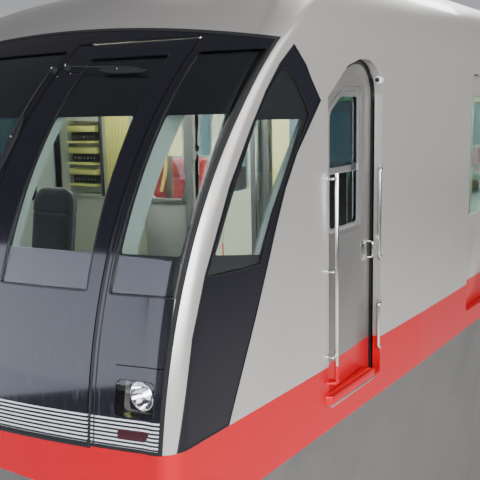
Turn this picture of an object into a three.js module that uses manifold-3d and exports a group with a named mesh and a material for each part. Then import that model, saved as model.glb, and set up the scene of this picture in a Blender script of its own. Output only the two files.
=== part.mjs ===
// End car of a small straddle-beam monorail, in millimetres.
// +Z is up and z = 0 is the beam's running surface. The nose points to -Y.
// +X is the car's left side. The origin is at mid-length on the centreline.
import * as THREE from 'three';
import { mergeVertices } from 'three/addons/utils/BufferGeometryUtils.js';
import Module from 'manifold-3d';

const wasm = await Module();
wasm.setup();

// Driving dimensions of the body
const halfWidth = 1490;
const noseTipY = -7350;
const rearWallY = 7080;
const rearEndY = 7350;
const floorZ = 1130;
const floorThick = 90;
const sillZ = 990;
const shoulderZ = 3080;
const roofZ = 3700;
const roofTopZ = 3740;
const skirtZ = -1360;
const wallThick = 110;
const shellThick = 60;
const shoulderRadius = 620;
const seam = 0.3;
const doorGap = 6;

// The nose: its profile from the side and its outline from above
const jointY = -4440;
const noseLowZ = 1000;
const profilePower = 2.3;
const planRadius = 4700;
const cornerRadius = 130;
const noseTaper = 35;
const lowTuck = 290;
const lowDraft = 90;
const noseLevels = 12;
const noseArcSteps = 5;
const cornerSteps = 4;
const redTopZ = 1360;
const redFrontZ = 1180;
const maskTopZ = 3222;
const maskTopRadius = 8675;
const maskDepth = 250;
const pillarLowX = 1395;
const pillarTopX = 1445;

// The running gear
const beamHalf = 400;
const slotHalf = 480;
const bogieYs = { front: -4300, rear: 4500 };
const axleOffset = 750;
const tyreRadius = 490;
const guideRadius = 365;
const guideOffset = 1250;
const guideZ = -250;
const stabiliserZ = -1130;
const legGap = 20;

// Doors and windows
const passengerDoorYs = { front: -2810, rear: 3900 };
const doorHalf = 650;
const doorTopZ = 3020;
const slotTopZ = 3030;
const leafX = [1400, 1440];
const crewDoorY = [-5792, -5125];
const crewDoorTopZ = 3040;
const crewDoorRound = 210;
const crewDoorX = [1450, 1412];
const crewDoorThick = 40;
const hatchX = [333, 1057];
const hatchTopZ = 3124;
const knuckleRadius = 14;
const knuckleLength = 50;
const knucklePlay = 4;
const crewHingeZs = [1500, 2600];
// The cut corner of the crew door's opening: way back from its front edge, way down from its top
const crewDoorCorner = [[0, 214], [228, 42], [372, 2]];
const hangerLength = 80;
const windowZ = [1950, 2900];
const paneX = [1450, 1462];
const gangwayHalf = 420;
const gangwayTopZ = 3060;
const gangwayOuter = { x: [-560, 560], z: [1000, 3220], radius: 90 };

// Finishes: colour, roughness, metalness
const finishes = {
  silver: ['#b5b3ad', 0.35, 0.6],
  black: ['#11141c', 0.15, 0.2],
  red: ['#cc1421', 0.3, 0.1],
  skirt: ['#6d7075', 0.5, 0.3],
  glass: ['#27323a', 0.05, 0.1],
  rubber: ['#191919', 0.9, 0.0],
  steel: ['#55585c', 0.6, 0.6],
  lining: ['#c9c8c2', 0.7, 0.0],
  desk: ['#2b2d30', 0.7, 0.0],
  rack: ['#c9c95c', 0.6, 0.0],
  seat: ['#7e1f2b', 0.9, 0.0],
};

// Joining and cutting
function toSolid(geometry) {
  const bare = geometry.clone();
  bare.deleteAttribute('normal');
  bare.deleteAttribute('uv');
  const merged = mergeVertices(bare, 1e-3);
  return new wasm.Manifold(new wasm.Mesh({
    numProp: 3,
    vertProperties: new Float32Array(merged.attributes.position.array),
    triVerts: new Uint32Array(merged.index.array),
  }));
}

function toGeometry(solid) {
  const data = solid.getMesh();
  const geometry = new THREE.BufferGeometry();
  geometry.setAttribute('position', new THREE.BufferAttribute(data.vertProperties, 3));
  geometry.setIndex(new THREE.BufferAttribute(data.triVerts, 1));
  geometry.computeVertexNormals();
  return geometry;
}

const join = (solids) => solids.reduce((whole, solid) => whole.add(solid));
const cut = (solid, cutters) => cutters.reduce((left, cutter) => left.subtract(cutter), solid);

function box([x0, x1], [y0, y1], [z0, z1]) {
  const geometry = new THREE.BoxGeometry(x1 - x0, y1 - y0, z1 - z0);
  geometry.translate((x0 + x1) / 2, (y0 + y1) / 2, (z0 + z1) / 2);
  return toSolid(geometry);
}

// A prism of an outline given as points or a Shape, swept along one axis
function prism(outline, axis, from, to, curveSegments = 2) {
  const isList = Array.isArray(outline);
  const shape = isList ? new THREE.Shape(outline.map(([a, b]) => new THREE.Vector2(a, b))) : outline;
  const geometry = new THREE.ExtrudeGeometry(shape, { depth: to - from, bevelEnabled: false, curveSegments });
  geometry.translate(0, 0, from);
  const turns = {
    x: new THREE.Matrix4().set(0, 0, 1, 0, 1, 0, 0, 0, 0, 1, 0, 0, 0, 0, 0, 1),
    y: new THREE.Matrix4().set(1, 0, 0, 0, 0, 0, 1, 0, 0, 1, 0, 0, 0, 0, 0, 1),
    z: new THREE.Matrix4(),
  };
  geometry.applyMatrix4(turns[axis]);
  if (turns[axis].determinant() < 0) flip(geometry);
  return toSolid(geometry);
}

function flip(geometry) {
  const position = geometry.attributes.position;
  const index = geometry.index ? geometry.index.array : [...Array(position.count).keys()];
  const flipped = [];
  for (let i = 0; i < index.length; i += 3) {
    flipped.push(index[i], index[i + 2], index[i + 1]);
  }
  geometry.setIndex(flipped);
}

function mirrored(solid) {
  const geometry = toGeometry(solid);
  geometry.scale(-1, 1, 1);
  flip(geometry);
  return toSolid(geometry);
}

const onSide = (solid, side) => (side > 0 ? solid : mirrored(solid));

// A rectangle with rounded corners, in the two axes across a prism
function roundedOutline([a0, a1], [b0, b1], radius) {
  const shape = new THREE.Shape();
  shape.moveTo(a0 + radius, b0);
  shape.lineTo(a1 - radius, b0);
  shape.absarc(a1 - radius, b0 + radius, radius, -Math.PI / 2, 0);
  shape.lineTo(a1, b1 - radius);
  shape.absarc(a1 - radius, b1 - radius, radius, 0, Math.PI / 2);
  shape.lineTo(a0 + radius, b1);
  shape.absarc(a0 + radius, b1 - radius, radius, Math.PI / 2, Math.PI);
  shape.lineTo(a0, b0 + radius);
  shape.absarc(a0 + radius, b0 + radius, radius, Math.PI, 1.5 * Math.PI);
  return shape;
}

// A clockwise outline with each edge moved in by a margin, its corners mitred
function drawnIn(outline, margin) {
  const points = outline.map(([a, b]) => new THREE.Vector2(a, b));
  return points.map((point, i) => {
    const before = point.clone().sub(points.at(i - 1)).normalize();
    const after = points[(i + 1) % points.length].clone().sub(point).normalize();
    const mitre = new THREE.Vector2(before.y + after.y, -before.x - after.x);
    mitre.multiplyScalar(margin / (1 + before.dot(after)));
    return [point.x + mitre.x, point.y + mitre.y];
  });
}

// A turned piece about the axis z, from rows of radius and height
function turned(rows, segments) {
  const geometry = new THREE.LatheGeometry(rows.map(([r, h]) => new THREE.Vector2(r, h)), segments);
  geometry.rotateX(Math.PI / 2);
  return toSolid(geometry);
}

// The nose's outer form, drawn in by an inset. Below noseLowZ it leans back to the skirt's hem.
function halfWidthAt(z, inset) {
  if (z < sillZ) return halfWidth - inset - lowDraft * (sillZ - z) / (sillZ - skirtZ);
  if (z < shoulderZ) return halfWidth - inset;
  const rise = z - shoulderZ;
  return halfWidth - shoulderRadius + Math.sqrt((shoulderRadius - inset) ** 2 - rise ** 2);
}

function noseSections(inset) {
  const length = jointY - noseTipY - inset;
  const height = roofZ - noseLowZ - inset;
  const sections = [skirtZ - inset, -300, 600].map((z) => ({
    z,
    front: noseTipY + inset + lowTuck * ((noseLowZ - z) / (noseLowZ - skirtZ)) ** 2,
  }));
  for (let i = 0; i <= noseLevels; i += 1) {
    const angle = THREE.MathUtils.degToRad(86) * i / noseLevels;
    sections.push({
      z: noseLowZ + height * Math.sin(angle) ** (2 / profilePower),
      front: jointY - length * Math.cos(angle) ** (2 / profilePower),
    });
  }
  return sections;
}

// Half of a level's outline from the centreline round to the joint, as [x, y]
function noseOutline({ z, front }, inset) {
  const width = halfWidthAt(z, inset);
  const rise = Math.max(0, (z - shoulderZ) / (roofZ - shoulderZ));
  const radius = cornerRadius + 260 * rise ** 2 - inset / 2;
  const taper = noseTaper * (1 - rise);
  const endX = width - taper - radius;
  const endY = front + endX ** 2 / (2 * planRadius);
  const points = [];
  for (let i = 0; i <= noseArcSteps; i += 1) {
    const x = endX * i / noseArcSteps;
    points.push([x, front + x ** 2 / (2 * planRadius)]);
  }
  for (let i = 1; i <= cornerSteps; i += 1) {
    const angle = Math.PI / 2 * i / cornerSteps;
    points.push([endX + radius * Math.sin(angle), endY + radius * (1 - Math.cos(angle))]);
  }
  points.push([width - taper / 2, (endY + radius + jointY) / 2]);
  points.push([width, jointY]);
  return points.map(([x, y]) => [x, Math.min(y, jointY)]);
}

function noseForm(inset) {
  const rings = noseSections(inset).map((section) => {
    const half = noseOutline(section, inset);
    const other = half.slice(1).reverse().map(([x, y]) => [-x, y]);
    return [...other, ...half].map(([x, y]) => [x, y, section.z]);
  });
  const count = rings[0].length;
  const index = [];
  for (let level = 0; level + 1 < rings.length; level += 1) {
    for (let i = 0; i < count; i += 1) {
      const a = level * count + i;
      const b = level * count + (i + 1) % count;
      index.push(a, b, b + count, a, b + count, a + count);
    }
  }
  const top = (rings.length - 1) * count;
  for (let i = 1; i + 1 < count; i += 1) {
    index.push(0, i + 1, i);
    index.push(top, top + i, top + i + 1);
  }
  const geometry = new THREE.BufferGeometry();
  geometry.setAttribute('position', new THREE.Float32BufferAttribute(rings.flat(2), 3));
  geometry.setIndex(index);
  return toSolid(geometry);
}

const noseOuter = noseForm(0);
const noseShell = noseOuter.subtract(noseForm(shellThick));
const wide = [-2000, 2000];
const sideReach = [1250, 1700];
const tall = [-2000, 4500];
const ahead = [-8000, jointY - seam];
const frontReach = [-8000, -6000];

// The mask's arched top and its slanted sides, drawn in by a margin
function maskOutline(margin) {
  const shape = new THREE.Shape();
  const top = (x) => maskTopZ - x ** 2 / (2 * maskTopRadius) - margin;
  shape.moveTo(-pillarLowX + margin, redTopZ + margin);
  shape.lineTo(pillarLowX - margin, redTopZ + margin);
  for (let i = 0; i <= 12; i += 1) {
    const x = (pillarTopX - margin) * (1 - i / 6);
    shape.lineTo(x, top(x));
  }
  return shape;
}

// The mask ends at the silver pillar, a fixed way behind the nose's profile
function profileY(z) {
  const rise = (z - noseLowZ) / (roofZ - noseLowZ);
  return jointY - (jointY - noseTipY) * (1 - rise ** profilePower) ** (1 / profilePower);
}

const maskReachZ = maskTopZ + 50;

function maskBlock(margin) {
  const behind = [];
  for (let i = 0; i <= 8; i += 1) {
    const z = redTopZ + (maskReachZ - redTopZ) * i / 8;
    behind.push([profileY(z) + maskDepth - margin, z]);
  }
  const front = prism([[-8000, maskReachZ], [-8000, redTopZ], ...behind], 'x', ...wide);
  return prism(maskOutline(margin), 'y', -8000, -5900).intersect(front);
}

// Front glazing: name, left and right edge
const frontPanes = [
  ['corner_window_right', -1380, -1090],
  ['windscreen', -1050, 290],
  ['corner_window_left', 1095, 1380],
];
const paneLowZ = 2000;
const paneRadius = 40;
const paneBelowMask = 60;
const paneInsets = [5, 20];
const maskTopAt = (x) => maskTopZ - x ** 2 / (2 * maskTopRadius);
const paneTopZ = (x0, x1) => Math.min(maskTopAt(x0), maskTopAt(x1)) - paneBelowMask;

function paneBlock(x0, x1, margin) {
  const topZ = paneTopZ(x0, x1) - margin;
  const outline = roundedOutline([x0 + margin, x1 - margin], [paneLowZ + margin, topZ], paneRadius);
  return prism(outline, 'y', ...frontReach);
}

const glassShell = noseForm(paneInsets[0]).subtract(noseForm(paneInsets[1]));

// In the mask on each side: a headlamp in its recess, and a tail lamp's bar
const headlamp = { x: [1180, 1356], z: [1505, 1660], radius: 25, ahead: -10, depth: 40 };
const lampBarrel = { x: 1286, z: 1592, radius: 58, y: -7105, length: 40 };
const tailLamp = { x: [1199, 1322], z: [1408, 1450], radius: 8, proud: -4, depth: 20 };

function lampRecess() {
  const { x, z, radius, ahead, depth } = headlamp;
  const area = prism(roundedOutline(x, z, radius), 'y', ...frontReach);
  return noseForm(ahead).subtract(noseForm(depth)).intersect(area);
}

function lampForms() {
  const { x, z, radius, proud, depth } = tailLamp;
  const area = prism(roundedOutline(x, z, radius), 'y', ...frontReach);
  const bar = noseForm(proud).subtract(noseForm(depth)).intersect(area);
  const barrel = new THREE.CylinderGeometry(lampBarrel.radius, lampBarrel.radius, lampBarrel.length, 20);
  barrel.translate(lampBarrel.x, lampBarrel.y, lampBarrel.z);
  return [bar, toSolid(barrel)];
}

// The hatch in the mask, the way out to the front. It hinges about X on knuckles at its top edge.
const hatchAxisInset = 12;
const hatchAxis = { y: profileY(hatchTopZ) + hatchAxisInset, z: hatchTopZ - doorGap / 2 };
const hatchPlate = { height: 50, reach: 60 };
const hatchHinges = [355, 640];
const hatchWindow = { x: [498, 987], z: [2030, 3040], radius: 60 };

function hatchBlock(margin) {
  const [x0, x1] = hatchX;
  const z = [redTopZ + margin, hatchTopZ - margin];
  return box([x0 + margin, x1 - margin], frontReach, z);
}

function hatchKnuckle(x, radius, play) {
  const pin = new THREE.CylinderGeometry(radius, radius, knuckleLength + 2 * play, 12);
  pin.rotateZ(Math.PI / 2);
  pin.translate(x + knuckleLength / 2, hatchAxis.y, hatchAxis.z);
  return toSolid(pin);
}

function hatchLeaf(x, up) {
  const { height, reach } = hatchPlate;
  const z = up ? [hatchAxis.z, hatchAxis.z + height] : [hatchAxis.z - height, hatchAxis.z];
  const plate = box([x, x + knuckleLength], [hatchAxis.y - knuckleRadius, hatchAxis.y + reach], z);
  return hatchKnuckle(x, knuckleRadius, 0).add(plate);
}

function frontHatch() {
  const { x, z, radius } = hatchWindow;
  const hole = prism(roundedOutline(x, z, radius), 'y', ...frontReach);
  const panel = cut(noseShell.intersect(hatchBlock(doorGap)), [hole]);
  const eyeRadius = knuckleRadius + knucklePlay;
  const eyes = hatchHinges.map((x) => hatchKnuckle(x + knuckleLength, eyeRadius, knucklePlay));
  return join([cut(panel, eyes), ...hatchHinges.map((x) => hatchLeaf(x, false))]);
}

function noseMask() {
  const holes = frontPanes.map(([, x0, x1]) => paneBlock(x0, x1, 0));
  const recesses = [lampRecess(), mirrored(lampRecess())];
  const panel = cut(noseShell.intersect(maskBlock(seam)), [hatchBlock(0), ...holes, ...recesses]);
  const eyes = hatchHinges.map((x) => hatchKnuckle(x, knuckleRadius + knucklePlay, knucklePlay));
  const leaves = hatchHinges.map((x) => hatchLeaf(x + knuckleLength + seam, true));
  const lamps = lampForms().flatMap((form) => [form, mirrored(form)]);
  return join([cut(panel, eyes), ...leaves, ...lamps]);
}

// The quarter window behind the silver pillar, as [y, z]
const quarterOutline = [
  [-7085, redTopZ + seam], [-6975, 1832], [-6882, 2077], [-6685, 2444], [-6505, 2697], [-6380, 2855],
  [-6255, 2982], [-6121, 3078], [-6012, 2987], [-5956, 2911], [-5867, 2810], [-6110, 2553],
  [-6223, 2389], [-6312, 2214], [-6380, 2068], [-6500, 1815], [-6735, redTopZ + seam],
];

function quarterBlock(side, margin) {
  return onSide(prism(drawnIn(quarterOutline, margin), 'x', ...sideReach), side);
}

// The crew door's opening, with its cut front corner and its round rear corner, as [y, z]
function crewDoorOutline(margin) {
  const [front, rear] = crewDoorY;
  const points = crewDoorCorner.map(([back, drop]) => [front + back, crewDoorTopZ - drop]);
  for (let i = 0; i <= cornerSteps; i += 1) {
    const angle = Math.PI / 2 * i / cornerSteps;
    const along = crewDoorRound * (1 - Math.sin(angle));
    const down = crewDoorRound * (1 - Math.cos(angle));
    points.push([rear - along, crewDoorTopZ - down]);
  }
  return drawnIn([[front, floorZ], ...points, [rear, floorZ]], margin);
}

// The crew door turns about its inner front edge
const crewPivot = [crewDoorX[0] - crewDoorThick, crewDoorY[0] + doorGap];

const crewPlate = { width: 20, reach: 45 };

function crewKnuckle(z, radius, play) {
  const pin = new THREE.CylinderGeometry(radius, radius, knuckleLength + 2 * play, 12);
  pin.rotateX(Math.PI / 2);
  pin.translate(...crewPivot, z + knuckleLength / 2);
  return toSolid(pin);
}

function crewHinge(z) {
  const [x, y] = crewPivot;
  const { width, reach } = crewPlate;
  const plate = box([x - knuckleRadius, x + width], [y - reach, y], [z, z + knuckleLength]);
  return crewKnuckle(z, knuckleRadius, 0).add(plate);
}

function noseCowl() {
  const upper = noseShell.intersect(box(wide, ahead, [redTopZ, 4500]));
  const cutters = [maskBlock(0)];
  for (const side of [1, -1]) {
    cutters.push(quarterBlock(side, 0));
    cutters.push(onSide(prism(crewDoorOutline(0), 'x', ...sideReach), side));
    for (const z of crewHingeZs) {
      cutters.push(onSide(crewKnuckle(z, knuckleRadius + knucklePlay, knucklePlay), side));
    }
  }
  const hinges = crewHingeZs.map((z) => crewHinge(z + knuckleLength + seam));
  return join([cut(upper, cutters), ...hinges, ...hinges.map(mirrored)]);
}

// The dark space under the red apron, which arches up over the front
function underApron(margin) {
  const shape = new THREE.Shape();
  shape.moveTo(-1700, 700);
  shape.lineTo(1700, 700);
  shape.lineTo(1700, sillZ - margin);
  for (let i = 0; i <= 16; i += 1) {
    const x = 1400 * (1 - i / 8);
    shape.lineTo(x, redFrontZ - margin - (redFrontZ - sillZ) * Math.abs(x / 1400) ** 3);
  }
  shape.lineTo(-1700, sillZ - margin);
  return prism(shape, 'y', -8000, -7000 - margin);
}

function noseApron() {
  const band = noseShell.intersect(box(wide, ahead, [sillZ, redTopZ - seam]));
  const doors = [1, -1].map((side) => onSide(prism(crewDoorOutline(0), 'x', ...sideReach), side));
  return cut(band, [underApron(0), ...doors]);
}

const slotTopLowZ = 150;

function noseSkirt() {
  const low = noseShell.intersect(box(wide, ahead, [skirtZ, sillZ - seam]));
  const arch = noseShell.intersect(underApron(seam));
  const slot = box([-slotHalf, slotHalf], frontReach, [-2000, slotTopLowZ]);
  return cut(low.add(arch), [slot]);
}

// The body behind the nose
function bodySection(inset) {
  const shape = new THREE.Shape();
  const flat = halfWidth - shoulderRadius;
  shape.moveTo(flat, roofZ - inset);
  shape.absarc(flat, shoulderZ, shoulderRadius - inset, Math.PI / 2, 0, true);
  shape.lineTo(-halfWidth + inset, shoulderZ);
  shape.absarc(-flat, shoulderZ, shoulderRadius - inset, Math.PI, Math.PI / 2, true);
  return shape;
}

const roofUnits = { halfWidth: 780, sink: 20, spans: [[-2700, -900], [2300, 4100]] };

function roofShell() {
  const outer = prism(bodySection(0), 'y', jointY, rearWallY, 5);
  const inner = prism(bodySection(shellThick), 'y', jointY - 10, rearWallY + 10, 5);
  const above = box(wide, [jointY, rearWallY], [shoulderZ + seam, 4500]);
  const unitX = [-roofUnits.halfWidth, roofUnits.halfWidth];
  const units = roofUnits.spans.map((span) => box(unitX, span, [roofZ - roofUnits.sink, roofTopZ]));
  return join([outer.subtract(inner).intersect(above), ...units]);
}

// Side windows: front and rear edge
const sideWindows = { front: [-1400, 500], rear: [620, 2500] };
const rearWindow = [5300, 6700];
const windowRadius = 80;
const doorRadius = 60;
const leafPlay = 8;
const pocketEnd = 10;

function sideWall(side) {
  const wall = box([halfWidth - wallThick, halfWidth], [jointY, rearWallY], [sillZ, shoulderZ]);
  const cutters = [];
  for (const y of Object.values(passengerDoorYs)) {
    const opening = roundedOutline([y - doorHalf, y + doorHalf], [floorZ, doorTopZ], doorRadius);
    const pocket = [leafX[0] - leafPlay, leafX[1] + leafPlay];
    cutters.push(prism(opening, 'x', ...sideReach));
    const pocketReach = 2 * doorHalf + pocketEnd;
    cutters.push(box(pocket, [y - pocketReach, y + pocketReach], [floorZ, slotTopZ]));
  }
  for (const span of [...Object.values(sideWindows), rearWindow]) {
    cutters.push(prism(roundedOutline(span, windowZ, windowRadius), 'x', ...sideReach));
  }
  return onSide(cut(wall, cutters), side);
}

function sidePane(span, side) {
  const z = [windowZ[0] + seam, windowZ[1] - seam];
  const outline = roundedOutline([span[0] + seam, span[1] - seam], z, windowRadius);
  return onSide(prism(outline, 'x', ...paneX), side);
}

const skirtThick = 40;

function bodySkirt(side) {
  const hem = halfWidth - lowDraft;
  const topZ = sillZ - seam;
  const inner = [[hem - skirtThick, skirtZ], [halfWidth - skirtThick, topZ]];
  const outline = [...inner, [halfWidth, topZ], [hem, skirtZ]];
  return onSide(prism(outline, 'y', jointY, rearWallY), side);
}

// The crew door's window, as [y, z]
const crewDoorWindow = [[-5742, 2105], [-5330, 2105], [-5330, 2845], [-5590, 2845], [-5742, 2748]];

function crewDoor(side) {
  const [front, rear] = crewDoorY;
  const [frontX, rearX] = crewDoorX;
  const outer = [[frontX, front], [rearX, rear]];
  const inner = [[rearX - crewDoorThick, rear], [frontX - crewDoorThick, front]];
  const slab = prism([...outer, ...inner], 'z', floorZ, crewDoorTopZ);
  const outline = prism(crewDoorOutline(doorGap), 'x', ...sideReach);
  const rearGap = box(sideReach, [rear - 2 * doorGap, rear], tall);
  const eyes = crewHingeZs.map((z) =>
    crewKnuckle(z + knuckleLength + seam, knuckleRadius + knucklePlay, knucklePlay));
  const panel = cut(slab.intersect(outline), [prism(crewDoorWindow, 'x', ...sideReach), rearGap, ...eyes]);
  return onSide(join([panel, ...crewHingeZs.map((z) => crewKnuckle(z, knuckleRadius, 0))]), side);
}

// A passenger door's leaf: its window's margins and its two hangers
const leafWindow = { side: 110, z: [1900, 2850] };
const hanger = { fromEdge: 60, thinner: 12 };

function doorLeaf(y, direction, side) {
  const edges = direction < 0 ? [y - doorHalf + 2, y - 3] : [y + 3, y + doorHalf - 2];
  const slab = box(leafX, edges, [floorZ + doorGap, doorTopZ - doorGap]);
  const glazed = [edges[0] + leafWindow.side, edges[1] - leafWindow.side];
  const hole = prism(roundedOutline(glazed, leafWindow.z, doorRadius), 'x', ...sideReach);
  const hangerX = [leafX[0] + hanger.thinner, leafX[1] - hanger.thinner];
  const hangerZ = [doorTopZ - 2 * doorGap, slotTopZ - 2 * seam];
  const hangers = [edges[0] + hanger.fromEdge, edges[1] - hanger.fromEdge - hangerLength].map((from) =>
    box(hangerX, [from, from + hangerLength], hangerZ));
  return onSide(join([cut(slab, [hole]), ...hangers]), side);
}

const rearWallThick = 80;

function rearWall() {
  const span = [rearWallY + seam, rearWallY + rearWallThick];
  const wall = prism(bodySection(0), 'y', ...span, 5);
  const lower = box([-halfWidth, halfWidth], span, [sillZ, shoulderZ]);
  const doorway = box([-gangwayHalf, gangwayHalf], [rearWallY - 50, rearEndY], [floorZ, gangwayTopZ]);
  return cut(join([wall, lower]), [doorway]);
}

function gangway() {
  const span = [rearWallY + rearWallThick + seam, rearEndY];
  const { x, z, radius } = gangwayOuter;
  const outer = prism(roundedOutline(x, z, radius), 'y', ...span);
  const inner = box([-gangwayHalf, gangwayHalf], [rearWallY, rearEndY + 100], [floorZ + 1, gangwayTopZ]);
  return cut(outer, [inner]);
}

// The floor and what hangs under it
const equipment = { x: [500, 1300], y: [-2200, 2400], lowZ: -850 };
const floorInset = 80;

function underframe() {
  const slab = [floorZ - floorThick, floorZ];
  const nose = noseForm(floorInset).intersect(box(wide, [-8000, jointY], slab));
  const inner = halfWidth - wallThick - seam;
  const body = box([-inner, inner], [jointY, rearWallY], slab);
  const hung = box(equipment.x, equipment.y, [equipment.lowZ, floorZ - floorThick]);
  return join([nose, body, hung, mirrored(hung)]);
}

// The coupler: its pivot under the floor, its bar and its face
const couplerParts = {
  pivot: { x: [-160, 160], y: [6650, 6950], z: [700, floorZ - floorThick - seam] },
  bar: { x: [-75, 75], y: [6700, rearEndY - 40], z: [780, 920] },
  face: { x: [-130, 130], y: [rearEndY - 40, rearEndY], z: [720, 980] },
};

function coupler() {
  return join(Object.values(couplerParts).map(({ x, y, z }) => box(x, y, z)));
}

// Inside the car
const partitionY = [-4960, -4920];
const partitionDoorway = { x: [-60, 430], topZ: 3000 };
const partitionWindowRadius = 60;
const partitionWindows = [
  { x: [560, 1250], z: [1950, 2950] },
  { x: [-540, -150], z: [2110, 2950] },
];

function partition() {
  const wall = noseForm(shellThick + 1).intersect(box(wide, partitionY, [floorZ + seam, 4500]));
  const reach = [partitionY[0] - 50, partitionY[1] + 50];
  const doorway = box(partitionDoorway.x, reach, [floorZ - 10, partitionDoorway.topZ]);
  const holes = partitionWindows.map(({ x, z }) =>
    prism(roundedOutline(x, z, partitionWindowRadius), 'y', ...reach));
  return cut(wall, [doorway, ...holes]);
}

// The desk's side view as [y, z], and the driver's seat
const deskX = [-1300, 250];
const deskOutline = [
  [-6900, floorZ + seam], [-6450, floorZ + seam], [-6450, 1750], [-6560, 1900], [-6900, 1950], [-7050, 1700],
];
const deskInset = 90;

function desk() {
  return noseForm(deskInset).intersect(prism(deskOutline, 'x', ...deskX));
}

const seatParts = {
  base: { x: [-680, -440], y: [-6300, -6050], z: [floorZ + seam, 1520] },
  cushion: { x: [-800, -320], y: [-6400, -5930], z: [1500, 1640] },
};
const seatBack = { x: [-790, -330], outline: [[-6010, 1600], [-5910, 1600], [-5840, 2020], [-5930, 2020]] };
const headrest = { x: [-720, -400], outline: [[-5930, 1990], [-5842, 1990], [-5800, 2330], [-5870, 2330]] };

function driverSeat() {
  const low = Object.values(seatParts).map(({ x, y, z }) => box(x, y, z));
  const high = [seatBack, headrest].map(({ x, outline }) => prism(outline, 'x', ...x));
  return join([...low, ...high]);
}

const rackSize = { x: [-1330, -560], y: [-5110, partitionY[0] - seam], z: [floorZ + seam, 2900] };

function rack() {
  return box(rackSize.x, rackSize.y, rackSize.z);
}

// Benches along the walls: front and rear end
const benches = { middle: [-1350, 2450], rear: [5260, 6900] };

// A bench's section: way in from the wall, and height
const benchSection = [[0, 1380], [0, 2050], [90, 2050], [150, 1600], [520, 1570], [520, 1440], [430, 1380]];

function bench([front, rear], side) {
  const wallX = halfWidth - wallThick - seam;
  const outline = benchSection.map(([from, z]) => [wallX - from, z]);
  return onSide(prism(outline, 'y', front, rear), side);
}

// Running gear. A wheel set turns about X, and a guide wheel about Z.
// Rows of radius and way out from the middle, for the hub, rim and twin tyres
const wheelHalf = [
  [250, 75], [370, 78], [475, 90], [tyreRadius, 125], [tyreRadius, 275], [475, 310], [370, 325], [110, 320],
  [75, 345], [75, 449.6],
];

function wheelSet() {
  const end = wheelHalf.at(-1)[1];
  const near = wheelHalf.map(([r, h]) => [r, -h]).reverse();
  const geometry = toGeometry(turned([[0, -end], ...near, ...wheelHalf, [0, end]], 18));
  geometry.rotateY(Math.PI / 2);
  return geometry;
}

const guideHalf = 90;
const guideStub = guideHalf + legGap - 0.4;

function guideWheel() {
  const rows = [
    [0, -110], [120, -110], [150, -60], [250, -85], [345, -guideHalf], [guideRadius, -60], [guideRadius, 60],
    [345, guideHalf], [150, 60], [60, 80], [60, guideStub], [0, guideStub],
  ];
  return toGeometry(turned(rows, 16));
}

// A bogie frame about its own centre: side beams, motors, legs, cross beams, bolster and air springs
const frameZ = [360, 640];
const sideBeam = { x: [450, 560], y: [-1420, 1420] };
const motor = { radius: 210, x: 790, y: [380, 1020], z: 520 };
const motorMount = { x: [540, 700], z: [420, 620] };
const middleLeg = { x: [480, 880], y: [-150, 150] };
const endLeg = { x: [450, 880], y: [1150, 1350] };
const crossHalf = 560;
const crossBeams = [
  { y: [-180, 180], lowZ: 330 },
  { y: [1290, 1420], lowZ: 380 },
  { y: [-1420, -1290], lowZ: 380 },
];
const bolster = { x: [-640, 640], y: [-170, 170], z: [630, 770] };
const pivotPin = { radius: 150, z: [760, floorZ - floorThick - 0.4] };
const springX = 430;
const springRows = [[0, 760], [190, 760], [215, 850], [190, 900], [215, 960], [190, 1034], [0, 1034]];

function bogieSide(side) {
  const y = side > 0 ? [-motor.y[1], -motor.y[0]] : motor.y;
  const drum = new THREE.CylinderGeometry(motor.radius, motor.radius, y[1] - y[0], 16);
  drum.translate(motor.x, (y[0] + y[1]) / 2, motor.z);
  const endLegZ = [guideZ + guideHalf + legGap, frameZ[1]];
  const parts = [
    box(sideBeam.x, sideBeam.y, frameZ),
    box(motorMount.x, y, motorMount.z),
    toSolid(drum),
    box(middleLeg.x, middleLeg.y, [stabiliserZ + guideHalf + legGap, frameZ[1]]),
    box(endLeg.x, endLeg.y, endLegZ),
    box(endLeg.x, [-endLeg.y[1], -endLeg.y[0]], endLegZ),
  ];
  return parts.map((part) => onSide(part, side));
}

function bogieFrame() {
  const solids = [...bogieSide(1), ...bogieSide(-1)];
  for (const { y, lowZ } of crossBeams) {
    solids.push(box([-crossHalf, crossHalf], y, [lowZ, frameZ[1]]));
  }
  solids.push(box(bolster.x, bolster.y, bolster.z));
  const { radius, z } = pivotPin;
  solids.push(turned([[0, z[0]], [radius, z[0]], [radius, z[1]], [0, z[1]]], 20));
  const spring = turned(springRows, 12);
  for (const side of [1, -1]) {
    solids.push(spring.translate([springX * side, 0, 0]));
  }
  return toGeometry(join(solids));
}

// The car
const car = new THREE.Group();

function place(parent, name, shape, finish, at = [0, 0, 0]) {
  const [colour, roughness, metalness] = finishes[finish];
  const material = new THREE.MeshStandardMaterial({ color: colour, roughness, metalness });
  const mesh = new THREE.Mesh(shape.isBufferGeometry ? shape : toGeometry(shape), material);
  mesh.name = name;
  mesh.position.set(...at);
  parent.add(mesh);
}

const sides = { left: 1, right: -1 };

place(car, 'underframe', underframe(), 'steel');
place(car, 'roof_shell', roofShell(), 'silver');
place(car, 'nose_cowl', noseCowl(), 'silver');
place(car, 'nose_mask', noseMask(), 'black');
place(car, 'nose_apron', noseApron(), 'red');
place(car, 'nose_skirt', noseSkirt(), 'skirt');
place(car, 'front_hatch', frontHatch(), 'black');
for (const [name, x0, x1] of frontPanes) {
  place(car, name, glassShell.intersect(paneBlock(x0, x1, seam)), 'glass');
}
place(car, 'rear_wall', rearWall(), 'silver');
place(car, 'gangway', gangway(), 'rubber');
place(car, 'coupler', coupler(), 'steel');
place(car, 'cab_partition', partition(), 'lining');
place(car, 'cab_desk', desk(), 'desk');
place(car, 'driver_seat', driverSeat(), 'desk');
place(car, 'equipment_rack', rack(), 'rack');

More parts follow.
